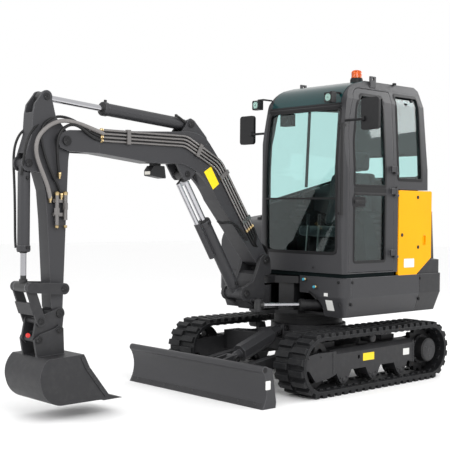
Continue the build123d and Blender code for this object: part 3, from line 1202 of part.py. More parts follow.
# Arm and its cylinder
ARM_EYE_HALF = 43.0
BUCKET_FOOT_HALF = 44.0
ARM_CYL_LENGTH, ARM_CYL_HEADING = toward(ARM_CYL_FOOT, ARM_CYL_HEAD)
with BuildPart() as arm:
    arm_side = [(2478, 1830), (2470, 1900), (2591, 2024), (2624, 2150), (2640, 2186), (2690, 2186), (2755, 2101),
                (2768, 2037), (2777, 1896), (2822, 1757), (2850, 1707), (2822, 1660), (2710, 1650), (2672, 1533),
                (2653, 1342), (2618, 750), (2600, 707), (2530, 707), (2507, 1330), (2491, 1736)]
    outline(arm_side, -ARM_HALF, ARM_HALF)
    disc(BOOM_TIP, -FORK_IN + SIDE_FIT, FORK_IN - SIDE_FIT, 58)
    disc(ARM_CYL_HEAD, -ARM_HALF, ARM_HALF, 42)
    disc(BUCKET_CYL_FOOT, -ARM_HALF, ARM_HALF, 52)
    disc(ROCKER_PIN, -ARM_HALF, ARM_HALF, 40)
    disc(ARM_END, -ARM_HALF, ARM_HALF, 48)
    ear_slot = [(2540, 2046), (2820, 2046), (2820, 2240), (2540, 2240)]
    outline(ear_slot, -ARM_EYE_HALF - SIDE_FIT, ARM_EYE_HALF + SIDE_FIT, mode=Mode.SUBTRACT)
    barrel_slot = [(2744, 1776), (2900, 1776), (2900, 1600), (2744, 1600)]
    outline(barrel_slot, -BUCKET_FOOT_HALF - SIDE_FIT, BUCKET_FOOT_HALF + SIDE_FIT, mode=Mode.SUBTRACT)
    disc(BUCKET_CYL_FOOT, -ARM_HALF - 8, ARM_HALF + 8, 20 - PIN_FIT)
    disc(BOOM_TIP, -FORK_IN, FORK_IN, 27, mode=Mode.SUBTRACT)
    disc(ROCKER_PIN, -ARM_HALF, ARM_HALF, 22, mode=Mode.SUBTRACT)
    disc(ARM_END, -ARM_HALF, ARM_HALF, 25, mode=Mode.SUBTRACT)
save(arm, "arm")

with BuildPart() as aux_couplers:
    for x_pipe, z_low, z_high in ((2596.0, 1302.0, 1502.0), (2530.0, 1335.0, 1504.0)):
        upright = Plane(origin=side().from_local_coords((x_pipe, z_low, 0)), z_dir=(0, 0, 1), x_dir=(1, 0, 0))
        with BuildSketch(upright) as tube:
            with Locations((0, ARM_HALF + 26)):
                Circle(15)
        extrude(tube.sketch, amount=z_high - z_low)
        with BuildSketch(upright.offset(70)) as nut:
            with Locations((0, ARM_HALF + 26)):
                RegularPolygon(radius=20, side_count=6)
        extrude(nut.sketch, amount=44)
    block(2510, 2620, ARM_HALF + SEAT_GAP, ARM_HALF + 22, 1360, 1384)
    block(2510, 2620, ARM_HALF + SEAT_GAP, ARM_HALF + 22, 1452, 1476)
save(aux_couplers, "aux_couplers")

with BuildPart() as arm_barrel:
    barrel_in(side_axis(ARM_CYL_FOOT, ARM_CYL_HEAD), ARM_CYL, 772, 120, 36, ARM_FOOT_HALF, 20)
save(arm_barrel, "arm_barrel")

with BuildPart() as arm_rod:
    rod_in(side_axis(ARM_CYL_FOOT, ARM_CYL_HEAD), ARM_CYL[1], ARM_CYL_LENGTH, 560, 36, ARM_EYE_HALF)
save(arm_rod, "arm_rod")

# Bucket linkage: rocker outside the links, links outside the coupler
COUPLER_BAND = (60.0, 76.0)
LINK_BAND = (78.0, 92.0)
ROCKER_BAND = (94.0, 109.0)
BUCKET_CYL_LENGTH, BUCKET_CYL_HEADING = toward(BUCKET_CYL_FOOT, LINK_PIN)


def strap_between(start, end, half_start, half_end, y_low, y_high):
    """Tapered flat bar with round ends between two pins, in the part that is being built."""
    length, heading = toward(start, end)
    corners = [along(start, heading, 0, half_start), along(start, heading, length, half_end),
               along(start, heading, length, -half_end), along(start, heading, 0, -half_start)]
    outline(corners, y_low, y_high)
    disc(start, y_low, y_high, half_start)
    disc(end, y_low, y_high, half_end)


with BuildPart() as bucket_rocker:
    for low, high in (ROCKER_BAND, (-ROCKER_BAND[1], -ROCKER_BAND[0])):
        strap_between(ROCKER_PIN, LINK_PIN, 38, 34, low, high)
    disc(ROCKER_PIN, -ROCKER_BAND[1], ROCKER_BAND[1], 22 - PIN_FIT)
    for low, high in ((COUPLER_BAND[0], ROCKER_BAND[1]), (-ROCKER_BAND[1], -COUPLER_BAND[0])):
        disc(ROCKER_PIN, low, high, 34)
save(bucket_rocker, "bucket_rocker")

with BuildPart() as bucket_link:
    for low, high in (LINK_BAND, (-LINK_BAND[1], -LINK_BAND[0])):
        strap_between(COUPLER_PIN, LINK_PIN, 34, 34, low, high)
    link_length, link_heading = toward(COUPLER_PIN, LINK_PIN)
    tie = [along(COUPLER_PIN, link_heading, reach, away) for reach, away in ((62, -44), (62, -30), (148, -30),
                                                                            (148, -44))]
    outline(tie, -LINK_BAND[1], LINK_BAND[1])
    for low, high in (LINK_BAND, (-LINK_BAND[1], -LINK_BAND[0])):
        rib = [along(COUPLER_PIN, link_heading, reach, away) for reach, away in ((62, -44), (62, 0), (148, 0),
                                                                                (148, -44))]
        outline(rib, low, high)
        disc(COUPLER_PIN, low, high, 20, mode=Mode.SUBTRACT)
save(bucket_link, "bucket_link")

with BuildPart() as bucket_barrel:
    barrel_in(side_axis(BUCKET_CYL_FOOT, LINK_PIN), BUCKET_CYL, 578, 130, 36, BUCKET_FOOT_HALF, 20)
save(bucket_barrel, "bucket_barrel")

with BuildPart() as bucket_rod:
    rod_in(side_axis(BUCKET_CYL_FOOT, LINK_PIN), BUCKET_CYL[1], BUCKET_CYL_LENGTH, 300, 34, LINK_BAND[0] - 4)
save(bucket_rod, "bucket_rod")

# Quick coupler and bucket
FRONT_BUCKET_PIN = (2736.0, 545.0)
REAR_BUCKET_PIN = (2577.0, 600.0)
EAR_BAND = (COUPLER_BAND[1] + SIDE_FIT, COUPLER_BAND[1] + 17)
BUCKET_PIN = 20.0
with BuildPart() as coupler:
    hanger = [(ARM_END[0] - 34, ARM_END[1] + 16), (ARM_END[0] + 10, ARM_END[1] + 38),
              (COUPLER_PIN[0] - 8, COUPLER_PIN[1] + 32), (COUPLER_PIN[0] + 32, COUPLER_PIN[1]),
              (FRONT_BUCKET_PIN[0] + 36, FRONT_BUCKET_PIN[1]), (FRONT_BUCKET_PIN[0], FRONT_BUCKET_PIN[1] - 36),
              (REAR_BUCKET_PIN[0], REAR_BUCKET_PIN[1] - 38), (REAR_BUCKET_PIN[0] - 36, REAR_BUCKET_PIN[1])]
    both_sides(hanger, *COUPLER_BAND)
    for low, high in (COUPLER_BAND, (-COUPLER_BAND[1], -COUPLER_BAND[0])):
        disc(ARM_END, low, high, 38)
        disc(COUPLER_PIN, low, high, 34)
    disc(ARM_END, -COUPLER_BAND[1] - 1, COUPLER_BAND[1] + 1, 25 - PIN_FIT)
    disc(COUPLER_PIN, -LINK_BAND[1], LINK_BAND[1], 20 - PIN_FIT)
    saddle = [(REAR_BUCKET_PIN[0] + 34, REAR_BUCKET_PIN[1] - 4), (FRONT_BUCKET_PIN[0] - 26, FRONT_BUCKET_PIN[1] + 42),
              (FRONT_BUCKET_PIN[0] - 36, FRONT_BUCKET_PIN[1] - 26), (REAR_BUCKET_PIN[0] + 24, REAR_BUCKET_PIN[1] - 44)]
    outline(saddle, -COUPLER_BAND[1], COUPLER_BAND[1])
    for pin in (FRONT_BUCKET_PIN, REAR_BUCKET_PIN):
        disc(pin, -COUPLER_BAND[1], COUPLER_BAND[1], BUCKET_PIN + SEAT_GAP, mode=Mode.SUBTRACT)
save(coupler, "coupler")


def bucket_outline(inset):
    """Side outline of the bucket shell, drawn in by inset at its mouth's far side."""
    with BuildSketch(side(BUCKET_HALF)) as shape:
        with BuildLine():
            Polyline((2465, 440), (2420, 351), (2257, 144), LIP, (2367, 118), (2617, 117))
            ThreePointArc((2617, 117), (2740, 158), (2795, 250))
            ThreePointArc((2795, 250), (2800, 340), (2743, 430))
            Line((2743, 430), (2465, 440))
        make_face()
        if inset > 0:
            offset(amount=-inset, kind=Kind.INTERSECTION)
    return shape.sketch


with BuildPart() as bucket:
    extrude(bucket_outline(0), amount=2 * BUCKET_HALF)
    hollow = bucket_outline(BUCKET_WALL)
    extrude(hollow.moved(Location((0, -BUCKET_WALL, 0))), amount=2 * (BUCKET_HALF - BUCKET_WALL), mode=Mode.SUBTRACT)
    mouth = [(2520, 425), (2462, 427), (2440, 470), (2080, 470), (2080, 114.5), (2150, 118.5), (2367, 131),
             (2520, 131)]
    outline(mouth, -BUCKET_HALF + BUCKET_WALL, BUCKET_HALF - BUCKET_WALL, mode=Mode.SUBTRACT)
    ear_plate = [(REAR_BUCKET_PIN[0] - 42, 425), (REAR_BUCKET_PIN[0] - 34, REAR_BUCKET_PIN[1] + 10),
                 (REAR_BUCKET_PIN[0], REAR_BUCKET_PIN[1] + 34), (REAR_BUCKET_PIN[0] + 34, REAR_BUCKET_PIN[1] + 10),
                 (FRONT_BUCKET_PIN[0] - 10, FRONT_BUCKET_PIN[1] + 34), (FRONT_BUCKET_PIN[0] + 34, FRONT_BUCKET_PIN[1]),
                 (FRONT_BUCKET_PIN[0] + 12, 428)]
    both_sides(ear_plate, EAR_BAND[0], EAR_BAND[1])
    for pin in (FRONT_BUCKET_PIN, REAR_BUCKET_PIN):
        disc(pin, -EAR_BAND[1] - 8, EAR_BAND[1] + 8, BUCKET_PIN)
save(bucket, "bucket")
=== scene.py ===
"""Looks of the mini excavator: camera, light, materials and the small pieces outside the CAD.

Helpers take millimetres from the slew axis, x forward, y left, z up; pieces end up in the row frame.
"""
from collections import defaultdict
from contextlib import contextmanager
from math import atan2, cos, hypot, pi, radians, sin, sqrt

import bmesh
import bpy
from mathutils import Matrix, Vector


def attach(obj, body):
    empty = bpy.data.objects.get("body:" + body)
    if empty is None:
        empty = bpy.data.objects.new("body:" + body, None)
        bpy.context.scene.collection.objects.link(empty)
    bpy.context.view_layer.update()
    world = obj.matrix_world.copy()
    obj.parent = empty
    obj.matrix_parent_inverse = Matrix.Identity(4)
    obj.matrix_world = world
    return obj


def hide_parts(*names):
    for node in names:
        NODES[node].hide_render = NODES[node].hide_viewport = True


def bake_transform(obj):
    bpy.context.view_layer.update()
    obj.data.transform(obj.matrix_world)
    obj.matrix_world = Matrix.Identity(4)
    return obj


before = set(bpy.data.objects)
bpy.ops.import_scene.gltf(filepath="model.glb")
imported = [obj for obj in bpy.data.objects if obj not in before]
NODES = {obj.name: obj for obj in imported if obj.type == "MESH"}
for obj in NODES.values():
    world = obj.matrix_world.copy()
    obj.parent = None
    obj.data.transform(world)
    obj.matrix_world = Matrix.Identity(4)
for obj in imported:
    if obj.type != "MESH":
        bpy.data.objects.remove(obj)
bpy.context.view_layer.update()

SLEW_X = -0.850
SLEW_Y = -0.1245
FORWARD = (1, 0, 0)
BACK = (-1, 0, 0)
LEFT = (0, 1, 0)
RIGHT = (0, -1, 0)
UP = (0, 0, 1)
DOWN = (0, 0, -1)


def at(x, y, z):
    """Point of the row frame, in metres."""
    return Vector((SLEW_X + x / 1000, SLEW_Y + y / 1000, z / 1000))


def placed(name, data):
    """New object in the scene."""
    made = bpy.data.objects.new(name, data)
    bpy.context.scene.collection.objects.link(made)
    return made


# Camera at the photograph's place
CAMERA_PLACE = (5.280, 5.4255, 1.397)
YAW = radians(-132.66)
PITCH = radians(-1.02)
ROLL = radians(0.57)
ahead = Vector((cos(YAW) * cos(PITCH), sin(YAW) * cos(PITCH), sin(PITCH)))
level_right = ahead.cross(Vector(UP)).normalized()
level_up = level_right.cross(ahead)
camera_right = level_right * cos(ROLL) + level_up * sin(ROLL)
camera_up = level_up * cos(ROLL) - level_right * sin(ROLL)
camera_data = bpy.data.cameras.new("camera")
camera_data.lens = 76.81
camera_data.sensor_width = 36
camera_data.shift_x = 0.0064
camera_data.shift_y = 0.010
camera = placed("camera", camera_data)
turn = Matrix((camera_right, camera_up, -ahead)).transposed().to_4x4()
camera.matrix_world = Matrix.Translation(CAMERA_PLACE) @ turn
bpy.context.scene.camera = camera

# Light and world
world = bpy.data.worlds.new("studio")
world.use_nodes = True
world.node_tree.nodes["Background"].inputs["Color"].default_value = (1.0, 1.0, 1.0, 1)
world.node_tree.nodes["Background"].inputs["Strength"].default_value = 1.0
bpy.context.scene.world = world
bpy.context.scene.view_settings.view_transform = "Standard"


def area_light(name, place, aim, size, power):
    """Soft rectangular light at place, turned to aim."""
    data = bpy.data.lights.new(name, "AREA")
    data.shape = "RECTANGLE"
    data.size, data.size_y = size
    data.energy = power
    lamp = placed(name, data)
    lamp.location = place
    lamp.rotation_euler = (Vector(aim) - Vector(place)).to_track_quat("-Z", "Y").to_euler()


area_light("key", (3.0, 5.5, 4.5), (0, 0, 1.0), (4.0, 3.0), 230)
area_light("front", (6.5, -1.5, 3.5), (0.3, 0, 1.0), (3.0, 3.0), 110)
area_light("back", (-5.5, 2.0, 4.0), (-0.5, 0, 1.2), (4.0, 2.5), 130)

# Materials: noise scales per metre, the painted highlights along edges, and how dust looks
WIDE_SCALE = 4.0
DUST_SCALE = 23.0
ROUGH_SCALE = 31.0
DUST_SPAN = (0.48, 0.72)
DUST_COLOUR = (0.16, 0.155, 0.15)
# Span, gain and lift of the painted highlight along edges
EDGE_SPAN = (0.80, 0.985)
EDGE_HIGHLIGHT_GAIN = 2.4
EDGE_HIGHLIGHT_LIFT = 0.06
BEVEL_SAMPLES = 4
BUMP_STRENGTH = 0.6
THREAD_PITCH = 0.0025


def link(tree, source, target):
    tree.links.new(source, target)


def noise(tree, coordinates, scale, detail=3.0):
    """Noise texture's factor at scale per metre."""
    node = tree.nodes.new("ShaderNodeTexNoise")
    node.inputs["Scale"].default_value = scale
    node.inputs["Detail"].default_value = detail
    link(tree, coordinates, node.inputs["Vector"])
    return node.outputs["Fac"]


def between(tree, factor, low, high, from_low=0.0, from_high=1.0):
    """Factor mapped to the range low to high."""
    node = tree.nodes.new("ShaderNodeMapRange")
    node.inputs["From Min"].default_value = from_low
    node.inputs["From Max"].default_value = from_high
    node.inputs["To Min"].default_value = low
    node.inputs["To Max"].default_value = high
    link(tree, factor, node.inputs["Value"])
    return node.outputs["Result"]


def blend_colours(tree, factor, first, second):
    """Colour mixed by factor between two colours or links."""
    node = tree.nodes.new("ShaderNodeMix")
    node.data_type = "RGBA"
    link(tree, factor, node.inputs["Factor"])
    for socket, colour in ((node.inputs["A"], first), (node.inputs["B"], second)):
        if isinstance(colour, tuple):
            socket.default_value = (*colour, 1)
        else:
            link(tree, colour, socket)
    return node.outputs["Result"]


def combined(tree, kind, operation, first, second):
    """Math node of a kind, with one link or value on each of its first two inputs."""
    node = tree.nodes.new(kind)
    node.operation = operation
    for socket, source in zip(node.inputs, (first, second)):
        if isinstance(source, bpy.types.NodeSocket):
            link(tree, source, socket)
        else:
            socket.default_value = source
    return node


def bumped(tree, height, strength, distance, rounded=None):
    """Bump from a height, over a rounded normal where there is one, linked to the shader."""
    bump = tree.nodes.new("ShaderNodeBump")
    bump.inputs["Strength"].default_value = strength
    bump.inputs["Distance"].default_value = distance
    link(tree, height, bump.inputs["Height"])
    if rounded is not None:
        link(tree, rounded, bump.inputs["Normal"])
    link(tree, bump.outputs["Normal"], tree.nodes["Principled BSDF"].inputs["Normal"])


def started(name):
    """New material with its tree, shader and object coordinates."""
    made = bpy.data.materials.new(name)
    made.use_nodes = True
    tree = made.node_tree
    place = tree.nodes.new("ShaderNodeTexCoord").outputs["Object"]
    return made, tree, tree.nodes["Principled BSDF"], place


def surface(name, colour, rough, metal=0.0, grain=900.0, depth=0.02, vary=0.12, edge=0.0, bevel=0.0,
            dust=0.0, rough_vary=0.08):
    """Opaque finish: large and small variation of colour, grain, rounded edges with a painted highlight along
    them, dust.
    """
    made, tree, shader, place = started(name)
    dark = tuple(channel * (1 - vary) for channel in colour)
    light = tuple(min(channel * (1 + vary), 1.0) for channel in colour)
    result = blend_colours(tree, noise(tree, place, WIDE_SCALE), dark, light)
    if dust > 0:
        patches = between(tree, noise(tree, place, DUST_SCALE, 6.0), 0.0, dust, *DUST_SPAN)
        result = blend_colours(tree, patches, result, DUST_COLOUR)
    rounded = None
    if bevel > 0:
        bevel_node = tree.nodes.new("ShaderNodeBevel")
        bevel_node.samples = BEVEL_SAMPLES
        bevel_node.inputs["Radius"].default_value = bevel
        rounded = bevel_node.outputs["Normal"]
    # Painted highlight: along edges, where the rounded normal turns from the flat one, the colour is mixed
    # towards a lighter copy of itself
    if rounded is not None and edge > 0:
        flat = tree.nodes.new("ShaderNodeNewGeometry").outputs["Normal"]
        dot = combined(tree, "ShaderNodeVectorMath", "DOT_PRODUCT", rounded, flat)
        mask = between(tree, dot.outputs["Value"], edge, 0.0, *EDGE_SPAN)
        painted_highlight = tuple(min(channel * EDGE_HIGHLIGHT_GAIN + EDGE_HIGHLIGHT_LIFT, 1.0) for channel in colour)
        result = blend_colours(tree, mask, result, painted_highlight)
    link(tree, result, shader.inputs["Base Color"])
    bumped(tree, noise(tree, place, grain), BUMP_STRENGTH, depth / 1000, rounded)
    roughness = between(tree, noise(tree, place, ROUGH_SCALE), rough - rough_vary, rough + rough_vary)
    link(tree, roughness, shader.inputs["Roughness"])
    shader.inputs["Metallic"].default_value = metal
    return made


def woven(name, colour):
    """Cloth: two crossed sets of threads and a soft sheen."""
    made = surface(name, colour, 0.85, grain=350.0, depth=0.3, vary=0.2)
    tree = made.node_tree
    place = tree.nodes.new("ShaderNodeTexCoord").outputs["Object"]
    heights = []
    for direction in ("Y", "Z"):
        threads = tree.nodes.new("ShaderNodeTexWave")
        threads.bands_direction = direction
        threads.inputs["Scale"].default_value = 0.32 / THREAD_PITCH
        threads.inputs["Distortion"].default_value = 0.6
        link(tree, place, threads.inputs["Vector"])
        heights.append(threads.outputs["Fac"])
    crossed = combined(tree, "ShaderNodeMath", "MULTIPLY", *heights)
    bumped(tree, crossed.outputs["Value"], 0.5, 0.0006)
    tree.nodes["Principled BSDF"].inputs["Sheen Weight"].default_value = 0.3
    return made


def glazing(name, colour, rough=0.01):
    """Tinted glass, faintly uneven."""
    made, tree, shader, place = started(name)
    shader.inputs["Transmission Weight"].default_value = 1.0
    shader.inputs["IOR"].default_value = 1.45
    deeper = tuple(0.96 * channel for channel in colour)
    link(tree, blend_colours(tree, noise(tree, place, 2.0), deeper, colour), shader.inputs["Base Color"])
    roughness = between(tree, noise(tree, place, 14.0), rough, rough + 0.03)
    link(tree, roughness, shader.inputs["Roughness"])
    return made


grey_paint = surface("grey_paint", (0.034, 0.034, 0.037), 0.42, grain=700.0, depth=0.05, vary=0.07, edge=0.8,
                     bevel=0.006)
grey_cast = surface("grey_cast", (0.022, 0.022, 0.024), 0.5, grain=420.0, depth=0.25, vary=0.14, edge=0.8,
                    bevel=0.005, dust=0.05)
dark_paint = surface("dark_paint", (0.010, 0.010, 0.011), 0.45, grain=600.0, depth=0.08, vary=0.1, edge=0.6,
                     bevel=0.004)
yellow_paint = surface("yellow_paint", (0.86, 0.37, 0.0), 0.36, grain=700.0, depth=0.04, vary=0.05, bevel=0.006)
rubber = surface("track_rubber", (0.0055, 0.0058, 0.007), 0.62, grain=260.0, depth=0.5, vary=0.25, edge=0.8,
                 bevel=0.004, dust=0.06)
dark_steel = surface("dark_steel", (0.012, 0.012, 0.013), 0.48, metal=0.5, grain=300.0, depth=0.3, vary=0.2,
                     edge=0.7, bevel=0.004, dust=0.06)
chrome = surface("chrome_rod", (0.46, 0.46, 0.48), 0.14, metal=1.0, depth=0.01, vary=0.04, rough_vary=0.05)
steel = surface("pipe_steel", (0.22, 0.21, 0.205), 0.30, metal=0.9, grain=800.0, depth=0.03, vary=0.15)
brass = surface("brass", (0.50, 0.38, 0.20), 0.3, metal=1.0, grain=600.0, depth=0.05, vary=0.15)
plastic = surface("black_plastic", (0.006, 0.006, 0.007), 0.5, grain=1200.0, depth=0.08, vary=0.1, bevel=0.002)
hose_rubber = surface("hose_rubber", (0.005, 0.005, 0.0055), 0.5, depth=0.15, vary=0.2, dust=0.04)
light_sleeve = surface("light_sleeve", (0.16, 0.15, 0.145), 0.5, grain=500.0, depth=0.3, vary=0.15)
# Near-black teal: the consoles' and cab floor's own black, and painted shade on the sheets over the cab's inner
# walls
interior_black_and_shade = surface("cab_interior_black_and_shade", (0.004, 0.007, 0.0075), 0.7, grain=500.0, depth=0.2, vary=0.2)
white_plate = surface("white_plate", (0.72, 0.72, 0.70), 0.45, vary=0.04)
yellow_plate = surface("yellow_plate", (0.88, 0.66, 0.004), 0.45, vary=0.04)
red_plug = surface("red_plug", (0.55, 0.02, 0.015), 0.4, grain=700.0, depth=0.04, vary=0.08)
blue_plug = surface("blue_plug", (0.04, 0.30, 0.42), 0.4, grain=700.0, depth=0.04, vary=0.08)
reflector = surface("lamp_reflector", (0.72, 0.70, 0.64), 0.16, metal=0.9, grain=90.0, depth=0.8, vary=0.1)
mirror_face = surface("mirror_face", (0.75, 0.77, 0.78), 0.06, metal=1.0, grain=60.0, depth=0.005, vary=0.03,
                      rough_vary=0.02)
seat_cloth = woven("seat_cloth", (0.03, 0.031, 0.034))
clear_glass = glazing("clear_glass", (0.70, 0.90, 0.885))
visor_tint = surface("visor_tint", (0.003, 0.032, 0.034), 0.22, grain=30.0, rough_vary=0.03)
amber = glazing("amber_lens", (1.0, 0.42, 0.04), 0.12)
amber_core = surface("amber_core", (1.0, 0.32, 0.01), 0.35, grain=500.0, depth=0.1, vary=0.1)

for dull, level in ((interior_black_and_shade, 0.04), (rubber, 0.3), (plastic, 0.3), (grey_paint, 0.32), (grey_cast, 0.32),
                    (dark_paint, 0.3), (yellow_paint, 0.15), (hose_rubber, 0.35), (seat_cloth, 0.15)):
    dull.node_tree.nodes["Principled BSDF"].inputs["Specular IOR Level"].default_value = level

# Slot of a piece by its material; plates, plugs, brass, lamp and mirror faces have none
SLOTS = {
    plastic: "black_plastic", interior_black_and_shade: "black_plastic", visor_tint: "clear_glass", clear_glass: "clear_glass",
    amber: "amber_lens", dark_steel: "dark_steel", grey_cast: "grey_paint", dark_paint: "grey_paint",
    rubber: "track_rubber", yellow_paint: "yellow_paint", seat_cloth: "seat_cover",
}
FINISHES = (
    (rubber, "track_left track_right"),
    (yellow_paint, "side_panel_left"),
    (dark_steel, "idlers sprockets track_rollers slew_ring engine"),
    (steel, "boom_pipes aux_couplers levers"),
    (clear_glass, "front_glass door_glass side_glass"),
    (interior_black_and_shade, "consoles cab_floor"),
    (plastic, "mirrors"),
    (seat_cloth, "seat"),
    (amber, "beacon"),
    (dark_paint, "grab_rail work_lamps rear_frame platform swing_barrel boom_lamp"),
    (grey_cast, "carriage_frame track_frame_left track_frame_right blade_frame swing_post bucket_rocker"),
    (grey_cast, "bucket_link coupler bucket counterweight"),
)
finish_of = {name: finish for finish, names in FINISHES for name in names.split()}


def dress(node, finish):
    """Give a CAD node its one material."""
    node.data.materials.clear()
    node.data.materials.append(finish)


for node_name, node in NODES.items():
    dress(node, finish_of.get(node_name, grey_paint))


def rod_finish(node_name, eye, reach):
    """Chrome on a cylinder's rod and dark paint within reach of the eye at its end."""
    node = NODES[node_name]
    made = chrome.copy()
    made.name = node_name + "_finish"
    tree = made.node_tree
    shader = tree.nodes["Principled BSDF"]
    place = tree.nodes.new("ShaderNodeTexCoord").outputs["Object"]
    eye_place = node.matrix_world.inverted() @ at(*eye)
    distance = combined(tree, "ShaderNodeVectorMath", "DISTANCE", place, eye_place)
    mask = between(tree, distance.outputs["Value"], 0.0, 1.0, reach, reach + 0.003)
    plain = shader.inputs["Base Color"].links[0].from_socket
    link(tree, blend_colours(tree, mask, (0.014, 0.014, 0.015), plain), shader.inputs["Base Color"])
    link(tree, mask, shader.inputs["Metallic"])
    polished = shader.inputs["Roughness"].links[0].from_socket
    rough = combined(tree, "ShaderNodeMath", "ADD", polished, between(tree, mask, 0.3, 0.0))
    link(tree, rough.outputs["Value"], shader.inputs["Roughness"])
    dress(node, made)


# Pins of the slewing and swinging parts, and the cylinders' ends in the middle plane as (x, z)
SWING_EYE = (780, 172)
KING_PIN = (570, 0)
SWING_FOOT = (-40, 600, 665)
BOOM_HEAD = (1433, 1682)
ARM_HEAD = (2662, 2156)
LINK_PIN = (2799, 891)
BLADE_EYE = (900, 236)

rod_finish("swing_rod", (*SWING_EYE, SWING_FOOT[2]), 0.050)
rod_finish("boom_rod", (BOOM_HEAD[0], 0, BOOM_HEAD[1]), 0.062)
rod_finish("arm_rod", (ARM_HEAD[0], 0, ARM_HEAD[1]), 0.060)
rod_finish("bucket_rod", (LINK_PIN[0], 0, LINK_PIN[1]), 0.078)


# Forms, added to a bmesh in millimetres from the slew axis
def ring_faces(mesh, low, high):
    """Faces between two closed loops of vertices."""
    count = len(low)
    for step in range(count):
        after = (step + 1) % count
        mesh.faces.new((low[step], low[after], high[after], high[step]))


def closed_tube(mesh, rings):
    """Faces along a row of loops, with a cap at each end."""
    for low, high in zip(rings, rings[1:]):
        ring_faces(mesh, low, high)
    mesh.faces.new(list(reversed(rings[0])))
    mesh.faces.new(rings[-1])


def turned(mesh, start, way, profile, sides=20):
    """Round form about the line from start along way, through (reach, radius) pairs."""
    start = Vector(start)
    way = Vector(way).normalized()
    across = way.orthogonal().normalized()
    third = way.cross(across)
    rings = []
    for reach, radius in profile:
        ring = []
        for step in range(sides):
            angle = 2 * pi * step / sides
            spoke = across * cos(angle) + third * sin(angle)
            ring.append(mesh.verts.new(start + way * reach + spoke * radius))
        rings.append(ring)
    closed_tube(mesh, rings)


def rod(mesh, start, end, radius, sides=14):
    """Round bar with softened ends."""
    way = Vector(end) - Vector(start)
    length = way.length
    lip = min(radius * 0.25, length * 0.2)
    profile = [(0, radius - lip), (lip, radius), (length - lip, radius), (length, radius - lip)]
    turned(mesh, start, way, profile, sides)


def slab(mesh, points, offset):
    """Flat or bent plate: a loop of points and the same loop moved by offset."""
    low = [mesh.verts.new(Vector(point)) for point in points]
    high = [mesh.verts.new(Vector(point) + Vector(offset)) for point in points]
    closed_tube(mesh, [low, high])


def cuboid(mesh, low, high):
    """Block between two corners."""
    (x0, y0, z0), (x1, y1, z1) = low, high
    slab(mesh, [(x0, y0, z0), (x1, y0, z0), (x1, y1, z0), (x0, y1, z0)], (0, 0, z1 - z0))


def hexagon(mesh, centre, way, radius, height):
    """Bolt head with a flange under it."""
    turned(mesh, centre, way, [(0, radius * 1.25), (1.6, radius * 1.25)], 16)
    turned(mesh, Vector(centre) + Vector(way).normalized() * 1.4, way,
           [(0, radius), (height - 1.0, radius), (height, radius * 0.86)], 6)


def pin_head(mesh, centre, way, radius):
    """Round plate over a pin's end."""
    turned(mesh, centre, way, [(0, radius), (5, radius), (7, radius - 2)], 26)


def finish_piece(mesh, name, body, material, bevel=0.0, smooth=35.0, slot=None):
    """The bmesh as a named piece on a body, in the row frame, with its material; its slot is looked up and not
    used.
    """
    bmesh.ops.recalc_face_normals(mesh, faces=mesh.faces)
    for vertex in mesh.verts:
        vertex.co = at(*vertex.co)
    data = bpy.data.meshes.new(name)
    mesh.to_mesh(data)
    mesh.free()
    data.materials.append(material)
    for polygon in data.polygons:
        polygon.use_smooth = True
    data.set_sharp_from_angle(angle=radians(smooth))
    made = placed(name, data)
    if bevel > 0:
        rounding = made.modifiers.new("rounding", "BEVEL")
        rounding.width = bevel / 1000
        rounding.segments = 2
        rounding.limit_method = "ANGLE"
        rounding.angle_limit = radians(40)
    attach(made, body)
    slot = slot or SLOTS.get(material)
    return made


@contextmanager
def piece(name, body, material, **how):
    """Mesh to be filled in the block below, and finished as a piece at its end."""
    mesh = bmesh.new()
    yield mesh
    finish_piece(mesh, name, body, material, **how)


def hose(name, points, radius, body=None, material=hose_rubber, crossing=None):
    """Hose along a smooth curve, riding on a body, or left unattached in the row frame where it crosses between
    two.
    """
    data = bpy.data.curves.new(name, "CURVE")
    data.dimensions = "3D"
    data.bevel_depth = radius / 1000
    data.bevel_resolution = 5
    data.resolution_u = 6
    data.use_fill_caps = True
    line = data.splines.new("NURBS")
    line.points.add(len(points) - 1)
    for spot, point in zip(line.points, points):
        spot.co = (*at(*point), 1)
    line.order_u = 3
    line.use_endpoint_u = True
    holder = placed(name + "_line", data)
    bpy.context.view_layer.update()
    evaluated = holder.evaluated_get(bpy.context.evaluated_depsgraph_get())
    mesh = bpy.data.meshes.new_from_object(evaluated)
    bpy.data.objects.remove(holder)
    mesh.name = name
    mesh.materials.clear()
    mesh.materials.append(material)
    for polygon in mesh.polygons:
        polygon.use_smooth = True
    made = placed(name, mesh)
    if crossing:
        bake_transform(made)
    else:
        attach(made, body)


# Cab surfaces
def circle_through(first, second, third):
    """Centre and radius of the circle through three points."""
    (ax, ay), (bx, by), (cx, cy) = first, second, third
    a2, b2, c2 = ax * ax + ay * ay, bx * bx + by * by, cx * cx + cy * cy
    cross = 2 * (ax * (by - cy) + bx * (cy - ay) + cx * (ay - by))
    ux = (a2 * (by - cy) + b2 * (cy - ay) + c2 * (ay - by)) / cross
    uy = (a2 * (cx - bx) + b2 * (ax - cx) + c2 * (bx - ax)) / cross
    return ux, uy, hypot(ax - ux, ay - uy)


SILL_LOW, SILL_HIGH, BROW_LOW = (403, 925), (413, 1500), (361, 2242)
SCREEN_ARC = circle_through(SILL_HIGH, (400, 1960), BROW_LOW)
BROW_ARC = circle_through(BROW_LOW, (318, 2352), (195, 2430))
BLADE_ARC = circle_through((1316, 262), (1281, 140), (1325, 0))
BODY_LEFT = 731.0
CAB_RIGHT = -190.0
LEAN_LOW, LEAN_HIGH, ROOF_EDGE = (731, 1750), (697, 2300), (627, 2481)


